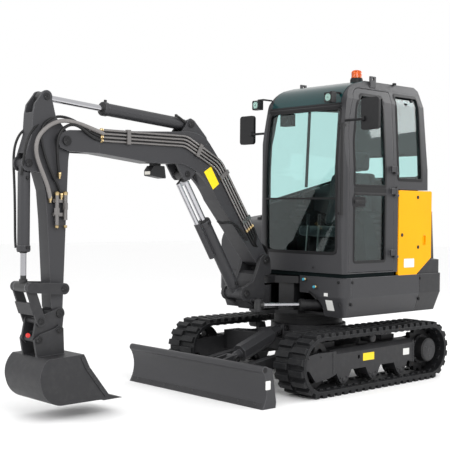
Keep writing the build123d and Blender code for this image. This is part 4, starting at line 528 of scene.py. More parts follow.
def front_x(z):
    """Cab's front surface at height z."""
    if z <= SILL_HIGH[1]:
        (x_low, z_low), (x_high, z_high) = SILL_LOW, SILL_HIGH
        return x_low + (x_high - x_low) * (z - z_low) / (z_high - z_low)
    x, y, radius = SCREEN_ARC if z <= BROW_LOW[1] else BROW_ARC
    return x + sqrt(max(radius * radius - (z - y) ** 2, 0.0))


def left_y(z):
    """Cab's left surface at height z."""
    if z <= LEAN_LOW[1]:
        return BODY_LEFT
    (y_low, z_low), (y_high, z_high) = (LEAN_LOW, LEAN_HIGH) if z <= LEAN_HIGH[1] else (LEAN_HIGH, ROOF_EDGE)
    return y_low + (y_high - y_low) * (z - z_low) / (z_high - z_low)


def on_left(x, z):
    return x, left_y(z), z


def on_right(x, z):
    return x, BODY_LEFT + CAB_RIGHT - left_y(z), z


def on_front(y, z):
    return front_x(z), y, z


def on_rear(y, z):
    return -644 - 23 * (2440 - z) / 491, y, z


def on_x(x):
    """Places (y, z) on the plane at x."""
    return lambda y, z: (x, y, z)


def on_y(y):
    """Places (x, z) on the plane at y."""
    return lambda x, z: (x, y, z)


def around(points):
    """Each point of a closed outline between the one before and the one after it."""
    count = len(points)
    for index in range(count):
        yield Vector(points[index - 1]), Vector(points[index]), Vector(points[(index + 1) % count])


def rounded_loop(points, radius, steps=4):
    """Closed outline with its corners rounded, in two dimensions."""
    loop = []
    for before, here, after in around(points):
        reach = min(radius, (here - before).length / 2.2, (after - here).length / 2.2)
        start = here - (here - before).normalized() * reach
        end = here + (after - here).normalized() * reach
        for step in range(steps + 1):
            share = step / steps
            loop.append(tuple((1 - share) ** 2 * start + 2 * share * (1 - share) * here + share ** 2 * end))
    return loop


def inset_loop(points, amount):
    """Closed outline moved inwards by amount."""
    sign = 1 if sum(before.cross(here) for before, here, _ in around(points)) > 0 else -1
    moved = []
    for before, here, after in around(points):
        first = (here - before).normalized()
        second = (after - here).normalized()
        first_in = Vector((-first.y, first.x)) * sign
        middle = first_in + Vector((-second.y, second.x)) * sign
        middle = middle / max(middle.length, 1e-6)
        moved.append(tuple(here + middle * (amount / max(middle.dot(first_in), 0.35))))
    return moved


def divided(points, pitch=70.0):
    """Closed outline with its long sides divided, so that it can follow a curved wall."""
    loop = []
    for _, here, after in around(points):
        parts = max(1, int((after - here).length / pitch))
        loop += [tuple(here + (after - here) * part / parts) for part in range(parts)]
    return loop


def rectangle(a_low, b_low, a_high, b_high):
    """Outline of a rectangle."""
    return [(a_low, b_low), (a_high, b_low), (a_high, b_high), (a_low, b_high)]


def rounded_plate(mesh, limits, radius, place, offset):
    """Rectangular plate with rounded corners, set by place."""
    slab(mesh, [place(*spot) for spot in rounded_loop(rectangle(*limits), radius)], offset)


def seal(mesh, points, width, place, outward, depth=14, proud=2.0, radius=30.0, grow=5.0):
    """Window seal: a ring round an outline, set on a wall by place and moved along outward."""
    base = divided(inset_loop(rounded_loop(points, radius), -grow))
    inner = inset_loop(base, width)
    loops = []
    for loop, reach in ((base, -depth), (base, proud - 1), (inset_loop(base, 2), proud),
                        (inset_loop(base, width - 2), proud), (inner, proud - 1.5), (inner, -depth)):
        loops.append([mesh.verts.new(Vector(place(*spot)) + Vector(outward) * reach) for spot in loop])
    for low, high in zip(loops, loops[1:] + loops[:1]):
        ring_faces(mesh, low, high)


UPPER_PANE = [(-115, 1610), (294, 1610), (294, 1960), (240, 2260), (170, 2350), (-115, 2350)]
QUARTER = [(-262, 1672), (-604, 1672), (-596, 2386), (-262, 2386)]
RIGHT_PANE = [(-560, 1690), (320, 1480), (320, 1960), (250, 2290), (-560, 2330)]

with piece("door_seals", "door", plastic) as mesh:
    seal(mesh, UPPER_PANE, 24, on_left, LEFT)
    seal(mesh, rectangle(-115, 1010, 294, 1560), 22, on_left, LEFT)
with piece("cab_seals", "upper", plastic) as mesh:
    seal(mesh, QUARTER, 26, on_left, LEFT)
    seal(mesh, RIGHT_PANE, 24, on_right, RIGHT)
    seal(mesh, rectangle(-130, 1075, 660, 2232), 24, on_front, FORWARD, radius=60)
    seal(mesh, rectangle(-110, 1700, 650, 2330), 24, on_rear, BACK, depth=4, radius=50)

# Windscreen's split bar and header bars, the far window's divider, and the wiper's motor
BAR_STRIP = 49
with piece("screen_trim", "upper", plastic, bevel=1.2) as mesh:
    for low, high, proud in ((1508, 1523, 3), (2228, 2244, 5), (2252, 2264, 4)):
        x_low, x_high = front_x(low), front_x(high)
        for y in range(-128, 656, BAR_STRIP):
            slab(mesh, [(x_low - 10, y, low), (x_low + proud, y, low),
                        (x_high + proud, y, high), (x_high - 10, y, high)], (0, BAR_STRIP + 0.5, 0))
    slab(mesh, [(-150, -164, 1625), (-118, -164, 1625), (-118, -131, 2325), (-150, -131, 2325)], (0, 8, 0))
    cuboid(mesh, (250, -50, 2120), (318, 60, 2222))
    turned(mesh, (318, 5, 2168), FORWARD, [(0, 26), (10, 26), (14, 18)])
hose("wiper_cable", [(300, 40, 2140), (322, 70, 2110), (330, 100, 2150), (318, 108, 2210), (300, 80, 2226)],
     4, "upper", plastic)

# Dark sheets of painted shade on the cab's inner walls, the bar between the door's two panes, and the console's
# bellows
with piece("cab_shade_sheets", "upper", interior_black_and_shade, bevel=1) as mesh:
    slab(mesh, [(-590, -149, 985), (350, -149, 985), (350, -149, 1462), (320, -149, 1470),
                (-560, -149, 1680), (-590, -149, 1686)], (0, 3, 0))
    slab(mesh, [(-612, y, z) for y, z in rectangle(-140, 985, 680, 1688)], (4, 0, 0))
    slab(mesh, [(x, 689, z) for x, z in rectangle(-600, 985, -266, 1662)], (0, -3, 0))
with piece("door_bar", "door", plastic) as mesh:
    cuboid(mesh, (-112, 730.6, 1566), (291, 732.4, 1604))
with piece("console_bellows", "upper", dark_paint, bevel=6, slot="black_plastic") as mesh:
    for fold in range(7):
        share = fold / 6
        middle_x = -95 - 40 * share - 46 * (share if fold < 3 else 1 - share)
        reach = 108 - 66 * share
        z = 1392 - 45 * fold
        slab(mesh, [(middle_x - reach, 536, z), (middle_x + reach, 536, z),
                    (middle_x + reach - 16, 536, z - 30), (middle_x - reach + 16, 536, z - 30)], (0, 128, 0))

# Roof visor: dark tinted panel over the brow, 7 mm thick, with its edges as narrow strips
VISOR_STRIPS = (-105, -93, 628, 640)
profile = [(front_x(z), z) for z in range(2268, 2421, 19)] + [(150, 2441.6), (100, 2454.6)]
outer_rows = []
inner_rows = []
with piece("roof_visor", "upper", visor_tint) as mesh:
    for index, (x, z) in enumerate(profile):
        x_before, z_before = profile[max(index - 1, 0)]
        x_after, z_after = profile[min(index + 1, len(profile) - 1)]
        normal = Vector((z_after - z_before, x_before - x_after)).normalized()
        for rows, lift in ((outer_rows, 3), (inner_rows, -4)):
            spot = Vector((x, z)) + normal * lift
            rows.append([mesh.verts.new((spot.x, y, spot.y)) for y in VISOR_STRIPS])
    for rows in (outer_rows, inner_rows):
        for low, high in zip(rows, rows[1:]):
            for step in range(3):
                mesh.faces.new((low[step], low[step + 1], high[step + 1], high[step]))
    for index in range(len(profile) - 1):
        for side in (0, 3):
            mesh.faces.new((outer_rows[index][side], outer_rows[index + 1][side],
                            inner_rows[index + 1][side], inner_rows[index][side]))
    for end in (0, -1):
        for step in range(3):
            mesh.faces.new((outer_rows[end][step], outer_rows[end][step + 1],
                            inner_rows[end][step + 1], inner_rows[end][step]))

# Door's latch recess and handle, and small caps on the cab
with piece("latch_recess", "door", plastic, bevel=2.0) as mesh:
    rounded_plate(mesh, (150, 1452, 312, 1532), 22, on_y(724), (0, 9.5, 0))
with piece("door_handle", "door", dark_paint, bevel=2.0) as mesh:
    rounded_plate(mesh, (176, 1478, 292, 1506), 12, on_y(733), (0, 9, 0))
    turned(mesh, (276, 738, 1492), LEFT, [(0, 9), (8, 9), (9, 7)], 16)
with piece("cab_caps", "upper", plastic) as mesh:
    turned(mesh, (-250, 726, 1608), LEFT, [(0, 15), (9, 15), (11, 12)])
    turned(mesh, (-319, 640, 2466), UP, [(0, 17), (12, 17), (16, 13), (17, 4)], 24)
    turned(mesh, (-478, 690, 2339), LEFT, [(0, 14), (12, 14), (14, 11)], 6)


# Work lamps on the cab and the lamp under the boom: bezel, reflector and lens
def square(y, z, half):
    """Limits of a square about y and z."""
    return y - half, z - half, y + half, z + half


for number, (y, z) in enumerate(((-191, 2297), (609, 2299))):
    with piece(f"lamp_bezel_{number}", "upper", plastic) as mesh:
        seal(mesh, rectangle(*square(y, z, 37)), 9, on_x(474), FORWARD, depth=6, proud=4, radius=12, grow=0)
    with piece(f"lamp_reflector_{number}", "upper", reflector) as mesh:
        turned(mesh, (474.5, y, z), FORWARD, [(0, 29), (1.5, 29), (1.0, 17), (0.5, 6)], 28)
        for bulb in (y - 12, y + 12):
            cuboid(mesh, (474.5, bulb - 8, z - 8), (477, bulb + 8, z + 8))
    with piece(f"lamp_lens_{number}", "upper", clear_glass) as mesh:
        rounded_plate(mesh, square(y, z, 31), 10, on_x(477.2), (1.4, 0, 0))
with piece("boom_lamp_reflector", "boom", reflector) as mesh:
    rounded_plate(mesh, (-36, 1665, 36, 1696), 9, on_x(1763.5), (2, 0, 0))
with piece("boom_lamp_bezel", "boom", plastic) as mesh:
    seal(mesh, rectangle(-38, 1663, 38, 1698), 6, on_x(1763), FORWARD, depth=4, proud=4, radius=10, grow=0)

# Mirrors: silvered face behind, and clamps on their bars
for number, (y, z) in enumerate(((940, 2160), (-399, 2105))):
    with piece(f"mirror_face_{number}", "upper", mirror_face) as mesh:
        rounded_plate(mesh, (y - 74, z - 112, y + 74, z + 112), 22, on_x(345.6), (-1.6, 0, 0))
with piece("mirror_clamps", "upper", plastic) as mesh:
    for start, bolt, z, way in ((868, 890, 2120, LEFT), (-318, -340, 2065, RIGHT)):
        turned(mesh, (378, start, z), way, [(0, 14), (4, 17), (26, 17), (30, 14)])
        hexagon(mesh, (378, bolt, z + 15), UP, 6, 7)

# Beacon: stepped base, ribbed dome and the core inside it
BEACON_X, BEACON_Y = 60, 550
RIB_PITCH = 4.6
ribs = []
for rib in range(10):
    ribs += [(rib * RIB_PITCH, 41.5), (rib * RIB_PITCH + RIB_PITCH / 2, 42.8)]
mesh = bmesh.new()
turned(mesh, (BEACON_X, BEACON_Y, 2455), UP, [(0, 52), (24, 52), (28, 49), (34, 49), (38, 44)], 36)
base_piece = finish_piece(mesh, "beacon_base", "upper", plastic)
with piece("beacon_dome", "upper", amber, smooth=60) as mesh:
    turned(mesh, (BEACON_X, BEACON_Y, 2492.5), UP, ribs + [(50, 41), (58, 36), (63, 27), (66.5, 12), (67, 2)], 36)
with piece("beacon_core", "upper", amber_core) as mesh:
    turned(mesh, (BEACON_X, BEACON_Y, 2494), UP, [(0, 38), (44, 38), (54, 30), (60, 12)], 24)
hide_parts("beacon")

# Seat: crowned cushions on a suspension box
STATIONS = 13
SWELL_POWER = 2.6
SEAM_SHARES = (0.22, 0.78)
SEAM_DEPTH = 5.0


def cushion(name, outline, y_low, y_high, crown):
    """Crowned cushion: a side outline swept across, its faces swelling in the middle."""
    loop = divided(rounded_loop(outline, 26, 3), 30)
    middle = Vector((sum(spot[0] for spot in loop) / len(loop), sum(spot[1] for spot in loop) / len(loop)))
    mesh = bmesh.new()
    rings = []
    for station in range(STATIONS):
        share = station / (STATIONS - 1)
        seam = SEAM_DEPTH if any(abs(share - place) < 0.05 for place in SEAM_SHARES) else 0.0
        reach = -crown * abs(2 * share - 1) ** SWELL_POWER - seam
        ring = []
        for spot in loop:
            point = Vector(spot) + (Vector(spot) - middle).normalized() * reach
            ring.append(mesh.verts.new((point.x, y_low + (y_high - y_low) * share, point.y)))
        rings.append(ring)
    closed_tube(mesh, rings)
    made = finish_piece(mesh, name, "upper", seat_cloth, smooth=75)
    softening = made.modifiers.new("softening", "SUBSURF")
    softening.levels = 1
    softening.render_levels = 1
    return made


BASE_OUTLINE = [(-195, 1202), (208, 1206), (240, 1250), (212, 1297), (-80, 1285)]
BACK_OUTLINE = [(-215, 1292), (-96, 1290), (-152, 1420), (-190, 1745), (-275, 1740), (-222, 1650)]
HEAD_OUTLINE = [(-278, 1752), (-192, 1758), (-205, 1850), (-243, 1925), (-290, 1912)]
base_cushion = cushion("seat_base_cushion", BASE_OUTLINE, 62, 518, 14)
cushion("seat_back_cushion", BACK_OUTLINE, 66, 514, 14)
cushion("seat_head_cushion", HEAD_OUTLINE, 150, 430, 10)
with piece("seat_suspension", "upper", plastic, bevel=5) as mesh:
    cuboid(mesh, (-190, 145, 968), (58, 435, 1192))
    for rib in range(6):
        cuboid(mesh, (-194, 141, 992 + rib * 34), (62, 439, 1008 + rib * 34))
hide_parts("seat")

# Joysticks with bellows, travel levers' boots, grips and pedals, and the vents
LEVERS_Y = (230, 350)
JOYSTICK_BOOT = [(0, 44), (6, 46), (10, 38), (16, 42), (22, 34), (28, 37), (34, 28), (40, 30), (48, 19), (52, 16)]
JOYSTICK_GRIP = [(0, 15), (30, 18), (60, 17), (88, 20), (106, 27), (112, 25), (114, 12)]
LEVER_BOOT = [(0, 34), (12, 36), (20, 26), (30, 29), (40, 20), (52, 14)]
with piece("control_grips", "upper", plastic) as mesh:
    for y in (-20, 600):
        turned(mesh, (80, y, 1418), UP, JOYSTICK_BOOT, 24)
        turned(mesh, (80, y, 1466), (-0.06, 0, 1), JOYSTICK_GRIP, 24)
    for y in LEVERS_Y:
        turned(mesh, (294, y, 1005), UP, LEVER_BOOT)
with piece("lever_grips", "upper", dark_paint) as mesh:
    for y in LEVERS_Y:
        rod(mesh, (268, y, 1300), (261, y, 1392), 13)
        cuboid(mesh, (262, y - 40, 962), (338, y + 40, 975))
with piece("cab_vents", "upper", plastic) as mesh:
    for z in (1300, 1240):
        turned(mesh, (96, -22, z), FORWARD, [(0, 24), (4, 24), (6, 20), (3, 18), (3, 4)], 24)
    cuboid(mesh, (395, 60, 935), (402, 420, 950))

# Pins at every pivot: head plate, keeper bolt and grease nipple, as body, (x, z), half length and radius
PINS = (
    ("swing_post", (640, 1019), 124, 33), ("swing_post", (855, 756), 124, 30),
    ("boom", BOOM_HEAD, 65, 24), ("boom", (1406, 2057), 74, 25), ("boom", (2524, 1868), 94, 33),
    ("arm", ARM_HEAD, 58, 25), ("arm", (2798, 1707), 66, 25), ("bucket_rocker", (2546, 874), 109, 24),
    ("bucket", (2562, 707), 77, 29), ("bucket", (2716, 665), 92, 22), ("bucket_rod", LINK_PIN, 74, 20),
    ("bucket", (2736, 545), 101, 23), ("bucket", (2577, 600), 101, 23),
    ("carriage", (330, 440), 62, 24), ("blade", BLADE_EYE, 69, 26),
)
pin_mesh = defaultdict(bmesh.new)
for body, (x, z), half, radius in PINS:
    mesh = pin_mesh[body]
    for side in (1, -1):
        way = (0, side, 0)
        pin_head(mesh, (x, side * half, z), way, radius)
        turned(mesh, (x, side * (half + 7), z), way, [(0, 5), (4, 5), (6, 3)], 12)
        hexagon(mesh, (x + radius * 0.55, side * (half + 6.4), z - radius * 0.3), way, 5.5, 6)
mesh = pin_mesh["carriage"]
for middle in (235, -235):
    for side in (1, -1):
        pin_head(mesh, (500, middle + side * 58, 235), (0, side, 0), 27)
        hexagon(mesh, (500, middle + side * 64, 235), (0, side, 0), 8, 8)
mesh = pin_mesh["upper"]
turned(mesh, (*KING_PIN, 892), UP, [(0, 44), (8, 44), (10, 41)], 30)
pin_head(mesh, (-40, 600, 704), UP, 26)
for bolt in range(3):
    angle = 2 * pi * bolt / 3 + 0.4
    hexagon(mesh, (KING_PIN[0] + 28 * cos(angle), 28 * sin(angle), 901), UP, 6, 7)
mesh = pin_mesh["swing_post"]
for z, side in ((712, 1), (618, -1)):
    pin_head(mesh, (*SWING_EYE, z), (0, 0, side), 26)
    hexagon(mesh, (*SWING_EYE, z + side * 6.4), (0, 0, side), 7, 7)
for body, mesh in pin_mesh.items():
    finish_piece(mesh, f"pins_{body}", body, dark_steel)


# Cylinders: gland nuts, and ports on top or on the left side
def on_line(start, end, reach, y=0.0, away=0.0):
    """Point reach from start on the way to end, moved sideways to y and up its normal by away."""
    length = hypot(end[0] - start[0], end[1] - start[1])
    cx, cz = (end[0] - start[0]) / length, (end[1] - start[1]) / length
    return start[0] + cx * reach - cz * away, y, start[1] + cz * reach + cx * away


# Barrel, foot, head, gland's reach, outer radius, rod's radius and whether the ports are on the left
CYLINDERS = (
    ("blade_barrel", (330, 440), BLADE_EYE, 400, 50, 22, True),
    ("boom_barrel", (855, 756), BOOM_HEAD, 677, 52, 24, True),
    ("arm_barrel", (1406, 2057), ARM_HEAD, 772, 50, 22, False),
    ("bucket_barrel", (2798, 1707), LINK_PIN, 578, 46, 20, True),
)
for body, start, end, gland, outer, rod_radius, ports_left in CYLINDERS:
    with piece(f"fittings_{body}", body, dark_steel) as mesh:
        way = Vector(on_line(start, end, 1)) - Vector(on_line(start, end, 0))
        turned(mesh, on_line(start, end, gland - 1), way,
               [(0, outer - 3), (5, outer - 3), (7, outer - 6), (9, rod_radius + 6), (14, rod_radius + 4),
                (15, rod_radius + 1.5)], 30)
        for reach in (gland - 24, 96):
            if ports_left:
                port = on_line(start, end, reach, outer - 8), on_line(start, end, reach, outer + 14)
            else:
                port = on_line(start, end, reach, 0, outer - 8), on_line(start, end, reach, 0, outer + 16)
            rod(mesh, *port, 11, 12)
with piece("fittings_swing_barrel", "swing_barrel", dark_steel) as mesh:
    way = Vector((SWING_EYE[0] - SWING_FOOT[0], SWING_EYE[1] - SWING_FOOT[1], 0)).normalized()
    turned(mesh, Vector(SWING_FOOT) + way * 574, way,
           [(0, 43), (5, 43), (7, 40), (9, 26), (14, 24), (15, 21)], 30)

# Hoses at the foot of the boom, from the swing post
FOOT_CROSSING = ("swing_post", "boom", (610, 0, 1010), (690, 0, 1160))
FOOT_HOSES = ((-58, 0, 11), (-34, 8, 12), (-10, 14, 11), (14, 10, 12), (38, 4, 11), (60, -4, 10))
for number, (y, lift, radius) in enumerate(FOOT_HOSES):
    hose(f"foot_hose_{number}", [
        (636, y * 0.8, 930), (590, y * 0.85, 990 + lift), (556, y * 0.9, 1060 + lift), (580, y, 1120 + lift),
        (650, y, 1150 + lift), (720, y, 1190 + lift), (764, y, 1240 + lift), (812, y, 1330 + lift),
    ], radius, crossing=FOOT_CROSSING)
hose("boom_arc_hose", [(846, 105, 1180), (900, 105, 1248), (980, 105, 1310), (1060, 105, 1325),
                       (1120, 99, 1310), (1150, 93, 1330)], 10, "boom")

# Ends of the boom's four pipes: brass nuts, and hoses from the lower ends
PIPES = 4
PIPE_PITCH = 25.0
PIPE_Y = 89
PIPE_LOW = (840, 1262)
PIPE_NUT = [(0, 9), (6, 13), (20, 13), (26, 10)]
pipe_angle = atan2(1733 - PIPE_LOW[1], 1164 - PIPE_LOW[0])
pipe_ends = [(PIPE_LOW[0] - row * PIPE_PITCH * sin(pipe_angle), PIPE_LOW[1] + row * PIPE_PITCH * cos(pipe_angle))
             for row in range(PIPES)]
with piece("pipe_nuts_foot", "boom", brass) as mesh:
    way = Vector((cos(pipe_angle), 0, sin(pipe_angle)))
    for x, z in pipe_ends:
        turned(mesh, Vector((x, PIPE_Y, z)) - way * 26, way, PIPE_NUT, 6)
for row, (x, z) in enumerate(pipe_ends):
    step = row * 6
    hose(f"pipe_hose_{row}", [
        (x - 12, PIPE_Y, z - 18), (x - 50, PIPE_Y, z - 72), (x - 96 + row * 8, 84 - step, z - 132),
        (690 + step, 66 - row * 4, 1128 + step), (648, 60 - step, 1100 + step), (590, 52 - step, 1070),
        (560, 50 - step, 1000), (590, 46 - step, 915),
    ], 9.5, crossing=FOOT_CROSSING)

# Hoses over the joint at the boom's tip, and their connectors
TIP_HOSES = (
    ("tip_hose_0", 10.5, hose_rubber, [
        (2238, 89, 1884), (2300, 92, 1893), (2370, 100, 1932), (2440, 106, 1972), (2500, 106, 1980),
        (2556, 104, 1955), (2592, 100, 1910), (2606, 96, 1850), (2598, 88, 1780), (2589, 82, 1700),
        (2574, 78, 1640)]),
    ("tip_hose_1", 14.0, light_sleeve, [
        (2226, 92, 1934), (2360, 98, 1972), (2470, 102, 1996), (2574, 104, 2002), (2667, 104, 1966),
        (2740, 100, 1902), (2766, 96, 1836), (2762, 90, 1762), (2726, 86, 1680), (2684, 82, 1600),
        (2656, 78, 1534), (2642, 74, 1480)]),
    ("tip_hose_2", 9.5, hose_rubber, [
        (2236, 89, 1909), (2330, 86, 1930), (2440, 70, 2010), (2560, 40, 2040), (2680, 66, 1990),
        (2724, 76, 1900), (2700, 80, 1790), (2660, 80, 1690), (2618, 78, 1616), (2578, 76, 1563),
        (2556, 74, 1500)]),
)
for name, radius, material, points in TIP_HOSES:
    hose(name, points, radius, material=material, crossing=("boom", "arm", (2440, 0, 1990), (2640, 0, 1780)))
with piece("pipe_nuts_tip", "boom", brass) as mesh:
    for row in range(PIPES):
        turned(mesh, (2228, PIPE_Y, 1884 + row * PIPE_PITCH), FORWARD, [(0, 10), (4, 13), (18, 13), (24, 10)], 6)
with piece("arm_connectors", "arm", brass) as mesh:
    for x, y, z in ((2574, 78, 1656), (2642, 74, 1496), (2556, 74, 1516)):
        turned(mesh, (x, y, z), DOWN, [(0, 11), (6, 15), (24, 15), (32, 10), (46, 9)], 6)
    for x, z in ((2596, 1500), (2530, 1502)):
        turned(mesh, (x, 84, z), UP, [(0, 15), (4, 17), (20, 17), (26, 11)])
        turned(mesh, (x, 84, z - 202), DOWN, [(0, 14), (14, 14), (18, 10)])

# Hoses along the top of the boom to the arm cylinder, and down the arm's front to the bucket cylinder
FEED_CROSSING = ("arm", "bucket_barrel", (2810, 0, 1880), (2836, 0, 1700))
hose("arm_feed_0", [
    (1200, 24, 1936), (1262, 28, 1985), (1340, 40, 2018), (1420, 50, 2040), (1480, 52, 2090), (1520, 40, 2112),
], 9, "boom")
hose("arm_feed_1", [
    (1196, -20, 1930), (1256, -28, 1986), (1340, -44, 2020), (1440, -56, 2040), (1580, -58, 2060),
    (1800, -56, 2070), (2020, -50, 2092), (2120, -30, 2140),
], 9, "boom")
hose("bucket_feed_0", [
    (2700, 44, 1985), (2776, 62, 1930), (2822, 70, 1850), (2836, 66, 1770), (2838, 50, 1680), (2838, 34, 1630),
], 8.5, crossing=FEED_CROSSING)
hose("bucket_feed_1", [
    (2690, -30, 1990), (2776, -58, 1935), (2822, -72, 1850), (2834, -78, 1740), (2832, -62, 1560),
    (2832, -54, 1380), (2836, -44, 1200), (2838, -32, 1150),
], 8.5, crossing=FEED_CROSSING)

# Swing cylinder's hoses, and the service ports with their coloured plugs beside it
hose("swing_hose_0", [(420, 470, 712), (420, 440, 736), (400, 380, 760), (350, 320, 780), (300, 300, 800)], 8,
     "upper")
hose("swing_hose_1", [(300, 440, 700), (310, 400, 740), (300, 350, 770), (270, 310, 790)], 8, "upper")
SERVICE_PORTS = ((322, 866), (436, 812))
with piece("service_ports", "upper", brass) as mesh:
    for y, z in SERVICE_PORTS:
        turned(mesh, (389, y, z), FORWARD, [(0, 10), (8, 13), (18, 13), (24, 8)], 16)
with piece("service_plugs", "upper", blue_plug) as mesh:
    for y, z in SERVICE_PORTS:
        turned(mesh, (412, y, z), FORWARD, [(0, 11), (12, 11), (15, 8)], 16)

# Blank plates, and plugs
FOLD_Z = 735
FOLD_SLOPE = 55 / 158
STICKER = (0, 1, 0)
with piece("blank_plates_upper", "upper", white_plate) as mesh:
    for y_low, y_high, z_low, z_high in ((516, 556, 742, 768), (524, 596, 628, 712)):
        x_low, x_high = (388.4 - FOLD_SLOPE * max(FOLD_Z - z, 0) for z in (z_low, z_high))
        slab(mesh, [(x_low, y_low, z_low), (x_low, y_high, z_low), (x_high, y_high, z_high),
                    (x_high, y_low, z_high)], (1.2, 0, 0))
    rounded_plate(mesh, (-500, 955, -360, 1028), 8, on_y(731.2), STICKER)
with piece("blade_tube_ends", "blade", plastic) as mesh:
    turned(mesh, (1300, 774.6, 280), LEFT, [(0, 20), (0.9, 20), (1.0, 19)], 28)
for name, body, material, limits, radius, y in (
        ("blade", "blade", white_plate, (1246, 138, 1296, 202), 6, 775.2),
        ("frame_yellow", "carriage", yellow_plate, (-22, 225, 119, 285), 5, 700.2),
        ("frame_white", "carriage", white_plate, (-490, 222, -406, 276), 5, 700.2)):
    with piece(f"blank_plate_{name}", body, material) as mesh:
        rounded_plate(mesh, limits, radius, on_y(y), STICKER)
with piece("blank_plate_boom", "boom", yellow_plate) as mesh:
    slab(mesh, [(1282, 78.4, 1703), (1211, 78.4, 1747), (1126, 78.4, 1616), (1188, 78.4, 1572)], (0, 1.2, 0))
with piece("coupler_plug", "bucket", red_plug) as mesh:
    turned(mesh, (2810, 76.2, 579), LEFT, [(0, 15), (10, 15), (13, 12), (14, 5)])

# Skirt bolts, seam screws and panel fasteners, and the rim of the side panel's latch
SKIRT_BOLT = [(0, 13), (14, 13), (16, 10), (16.5, 5)]
BOLT_HEIGHTS = (684, 859)
with piece("body_fasteners", "upper", dark_steel) as mesh:
    for x in (298, -590):
        for z in BOLT_HEIGHTS:
            y = 722 if z > FOLD_Z else 712
            turned(mesh, (x, y, z), LEFT, SKIRT_BOLT)
            turned(mesh, (x, -y, z), RIGHT, SKIRT_BOLT)
    for y, z in ((665, 859), (673, 684), (-665, 859), (-673, 684)):
        turned(mesh, (380, y, z), FORWARD, [(0, 12), (12, 12), (14, 9), (14.5, 4)])
    for x, z in ((-543, 1540), (-330, 1225), (-553, 1122)):
        turned(mesh, (x, 728, z), LEFT, [(0, 15), (6, 15), (8, 12), (8, 5), (5, 4)], 24)
    turned(mesh, (405, 414, 965), FORWARD, [(0, 9), (4, 9), (5, 6)], 16)
with piece("panel_latch_rim", "upper", yellow_paint) as mesh:
    seal(mesh, rectangle(-664, 1136, -616, 1224), 7, on_y(731), LEFT, depth=8, proud=1.5, radius=23, grow=3)

# Louvres, the hood's handle and lock, the filler cap and the exhaust: guesses, unseen in the photo
LOUVRE_RADIUS = 1088
LOUVRE_DEPTH = 9
with piece("hood_louvres", "rear_hood", plastic) as mesh:
    for row in range(9):
        z = 1120 + row * 26
        for step in range(12):
            first = radians(-21 + step * 3.5)
            last = radians(-21 + (step + 1) * 3.5 - 0.5)
            points = []
            for angle, drop in ((first, 0), (last, 0), (last, LOUVRE_DEPTH), (first, LOUVRE_DEPTH)):
                reach = LOUVRE_RADIUS + drop
                points.append((-reach * cos(angle), reach * sin(angle), z - drop))
            slab(mesh, points, (0, 0, 5))
with piece("cover_louvres", "upper", plastic, bevel=1.5) as mesh:
    for row in range(8):
        z = 1150 + row * 24
        cuboid(mesh, (-560, -735, z), (-300, -729, z + 9))
with piece("hood_handle", "rear_hood", plastic, bevel=3) as mesh:
    turned(mesh, (-1096, 0, 1060), BACK, [(0, 20), (6, 20), (8, 17)], 24)
    cuboid(mesh, (-1108, -60, 1330), (-1092, 60, 1356))
with piece("filler_cap", "upper", plastic, bevel=2) as mesh:
    turned(mesh, (120, -430, 1340), UP, [(0, 58), (14, 58), (20, 52), (22, 40)], 32)
    cuboid(mesh, (85, -438, 1358), (155, -422, 1372))
with piece("exhaust_pipe", "upper", dark_steel) as mesh:
    turned(mesh, (-560, -430, 1530), UP, [(0, 34), (60, 34), (64, 30), (96, 30)], 26)

# Blade: bolted cutting edge along the foot of the board
EDGE_HALF = 753
arc_x, arc_z, arc_radius = BLADE_ARC
board = [(arc_x - sqrt(arc_radius * arc_radius - (z - arc_z) ** 2), z) for z in range(4, 45, 8)]
with piece("cutting_edge", "blade", grey_cast, bevel=0.8) as mesh:
    section = [(x + 3.0, z) for x, z in board] + [(x - 1.0, z) for x, z in reversed(board)]
    slab(mesh, [(x, -EDGE_HALF, z) for x, z in section], (0, 2 * EDGE_HALF, 0))
    bolt_x, bolt_z = board[3]
    for step in range(9):
        hexagon(mesh, (bolt_x + 2.4, -680 + step * 170, bolt_z), (1, 0, -0.35), 7, 5)

# Bucket: side cutters, lip plate and wear strips
SIDE_CUTTER = [(2460, 425), (2424, 352), (2262, 146), (2292, 136), (2450, 336), (2492, 418)]
with piece("bucket_wear_parts", "bucket", grey_cast, bevel=1.2) as mesh:
    for side in (1, -1):
        slab(mesh, [(x, side * 225.2, z) for x, z in SIDE_CUTTER], (0, side * 7, 0))
        for share in (0.2, 0.5, 0.8):
            hexagon(mesh, (2290 + 175 * share, side * 231.5, 162 + 220 * share), (0, side, 0), 9, 7)
    slab(mesh, [(2150, -218, 116), (2146, -218, 111), (2300, -218, 109), (2300, -218, 116.5)], (0, 436, 0))
    for y in (-164, -64, 36, 136):
        slab(mesh, [(2600, y, 117.5), (2380, y, 118.5), (2380, y, 112), (2600, y, 111)], (0, 28, 0))

# Tracks: guide lugs inside the belt, hub covers, roller caps and bolts
IDLER_X, SPROCKET_X, LOOP_RADIUS, AXLE_Z = 674.0, -704.0, 192.5, 244.5
RUN = IDLER_X - SPROCKET_X
HALF_TURN = pi * LOOP_RADIUS
LOOP = 2 * (RUN + HALF_TURN)
GUIDES = 48
GUIDE_SECTION = ((0, -2), (44, -2), (36, 13), (8, 13))
FRAME_SIDE = 700
HUB_COVER = [(0, 88), (4, 88), (6, 84), (6.5, 30), (7.5, 28), (7.5, 6), (6.5, 4)]


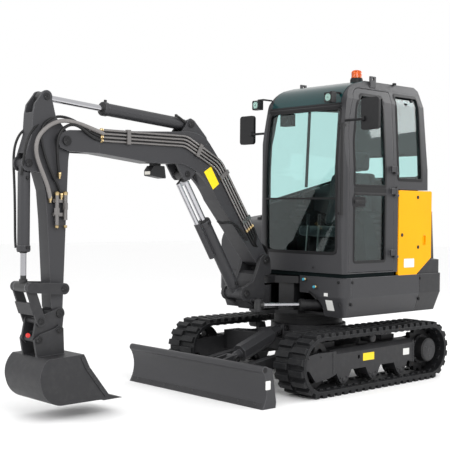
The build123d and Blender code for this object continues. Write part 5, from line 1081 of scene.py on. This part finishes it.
def on_belt(run, height):
    """Point (x, z) at run along the belt's inner face, raised by height towards the loop's middle."""
    run = run % LOOP
    reach = LOOP_RADIUS - height
    if run < RUN:
        return SPROCKET_X + run, AXLE_Z + reach
    if run < RUN + HALF_TURN:
        angle = pi / 2 - (run - RUN) / LOOP_RADIUS
        return IDLER_X + reach * cos(angle), AXLE_Z + reach * sin(angle)
    if run < 2 * RUN + HALF_TURN:
        return IDLER_X - (run - RUN - HALF_TURN), AXLE_Z - reach
    angle = -pi / 2 - (run - 2 * RUN - HALF_TURN) / LOOP_RADIUS
    return SPROCKET_X + reach * cos(angle), AXLE_Z + reach * sin(angle)


def on_circle(count, radius, offset=0.0):
    """Points (x, z) of bolts about the sprocket's axle."""
    for bolt in range(count):
        angle = 2 * pi * bolt / count + offset
        yield SPROCKET_X + radius * cos(angle), AXLE_Z + radius * sin(angle)


for name, side in (("left", 1), ("right", -1)):
    way = (0, side, 0)
    with piece(f"track_guides_{name}", "carriage", rubber) as mesh:
        for index in range(GUIDES):
            start = index * LOOP / GUIDES
            spots = [on_belt(start + run, height) for run, height in GUIDE_SECTION]
            for y in (533, 710):
                slab(mesh, [(x, side * y, z) for x, z in spots], (0, side * 24, 0))
    with piece(f"wheel_caps_{name}", "carriage", grey_cast) as mesh:
        turned(mesh, (SPROCKET_X, side * 744, AXLE_Z), way, HUB_COVER, 40)
        for x, z in on_circle(9, 111):
            hexagon(mesh, (x, side * 667, z), way, 7, 7)
        for x, z in on_circle(3, 52, 0.5):
            hexagon(mesh, (x, side * 750, z), way, 6, 4)
        turned(mesh, (-6, side * 699, 398.7), way, [(0, 30), (5, 30), (7, 26), (7, 10), (5, 8)], 28)
        for x in (-377, -12, 353):
            turned(mesh, (x, side * 699.5, 98.3), way, [(0, 16), (4, 16), (6, 13)])
            for shift in (-40, 40):
                hexagon(mesh, (x + shift, side * FRAME_SIDE, 118), way, 7, 7)
        for x in (480, 620, 760):
            hexagon(mesh, (x, side * FRAME_SIDE, 300), way, 6, 5)
    with piece(f"frame_welds_{name}", "carriage", grey_cast, bevel=1) as mesh:
        for section in ([(470, 322), (484, 322), (484, 160), (470, 152)],
                        [(-548, 340), (-536, 340), (-536, 165), (-548, 160)]):
            slab(mesh, [(x, side * (FRAME_SIDE + 0.2), z) for x, z in section], (0, side * 3, 0))

# Floor
FLOOR_HALF = 30
floor_data = bpy.data.meshes.new("floor")
floor_data.from_pydata([(x, y, 0) for x, y in rectangle(-FLOOR_HALF, -FLOOR_HALF, FLOOR_HALF, FLOOR_HALF)], [],
                       [(0, 1, 2, 3)])
floor_data.materials.append(surface("floor", (0.97, 0.97, 0.97), 0.9, grain=60.0, depth=0.2, vary=0.01))
floor = placed("floor", floor_data)
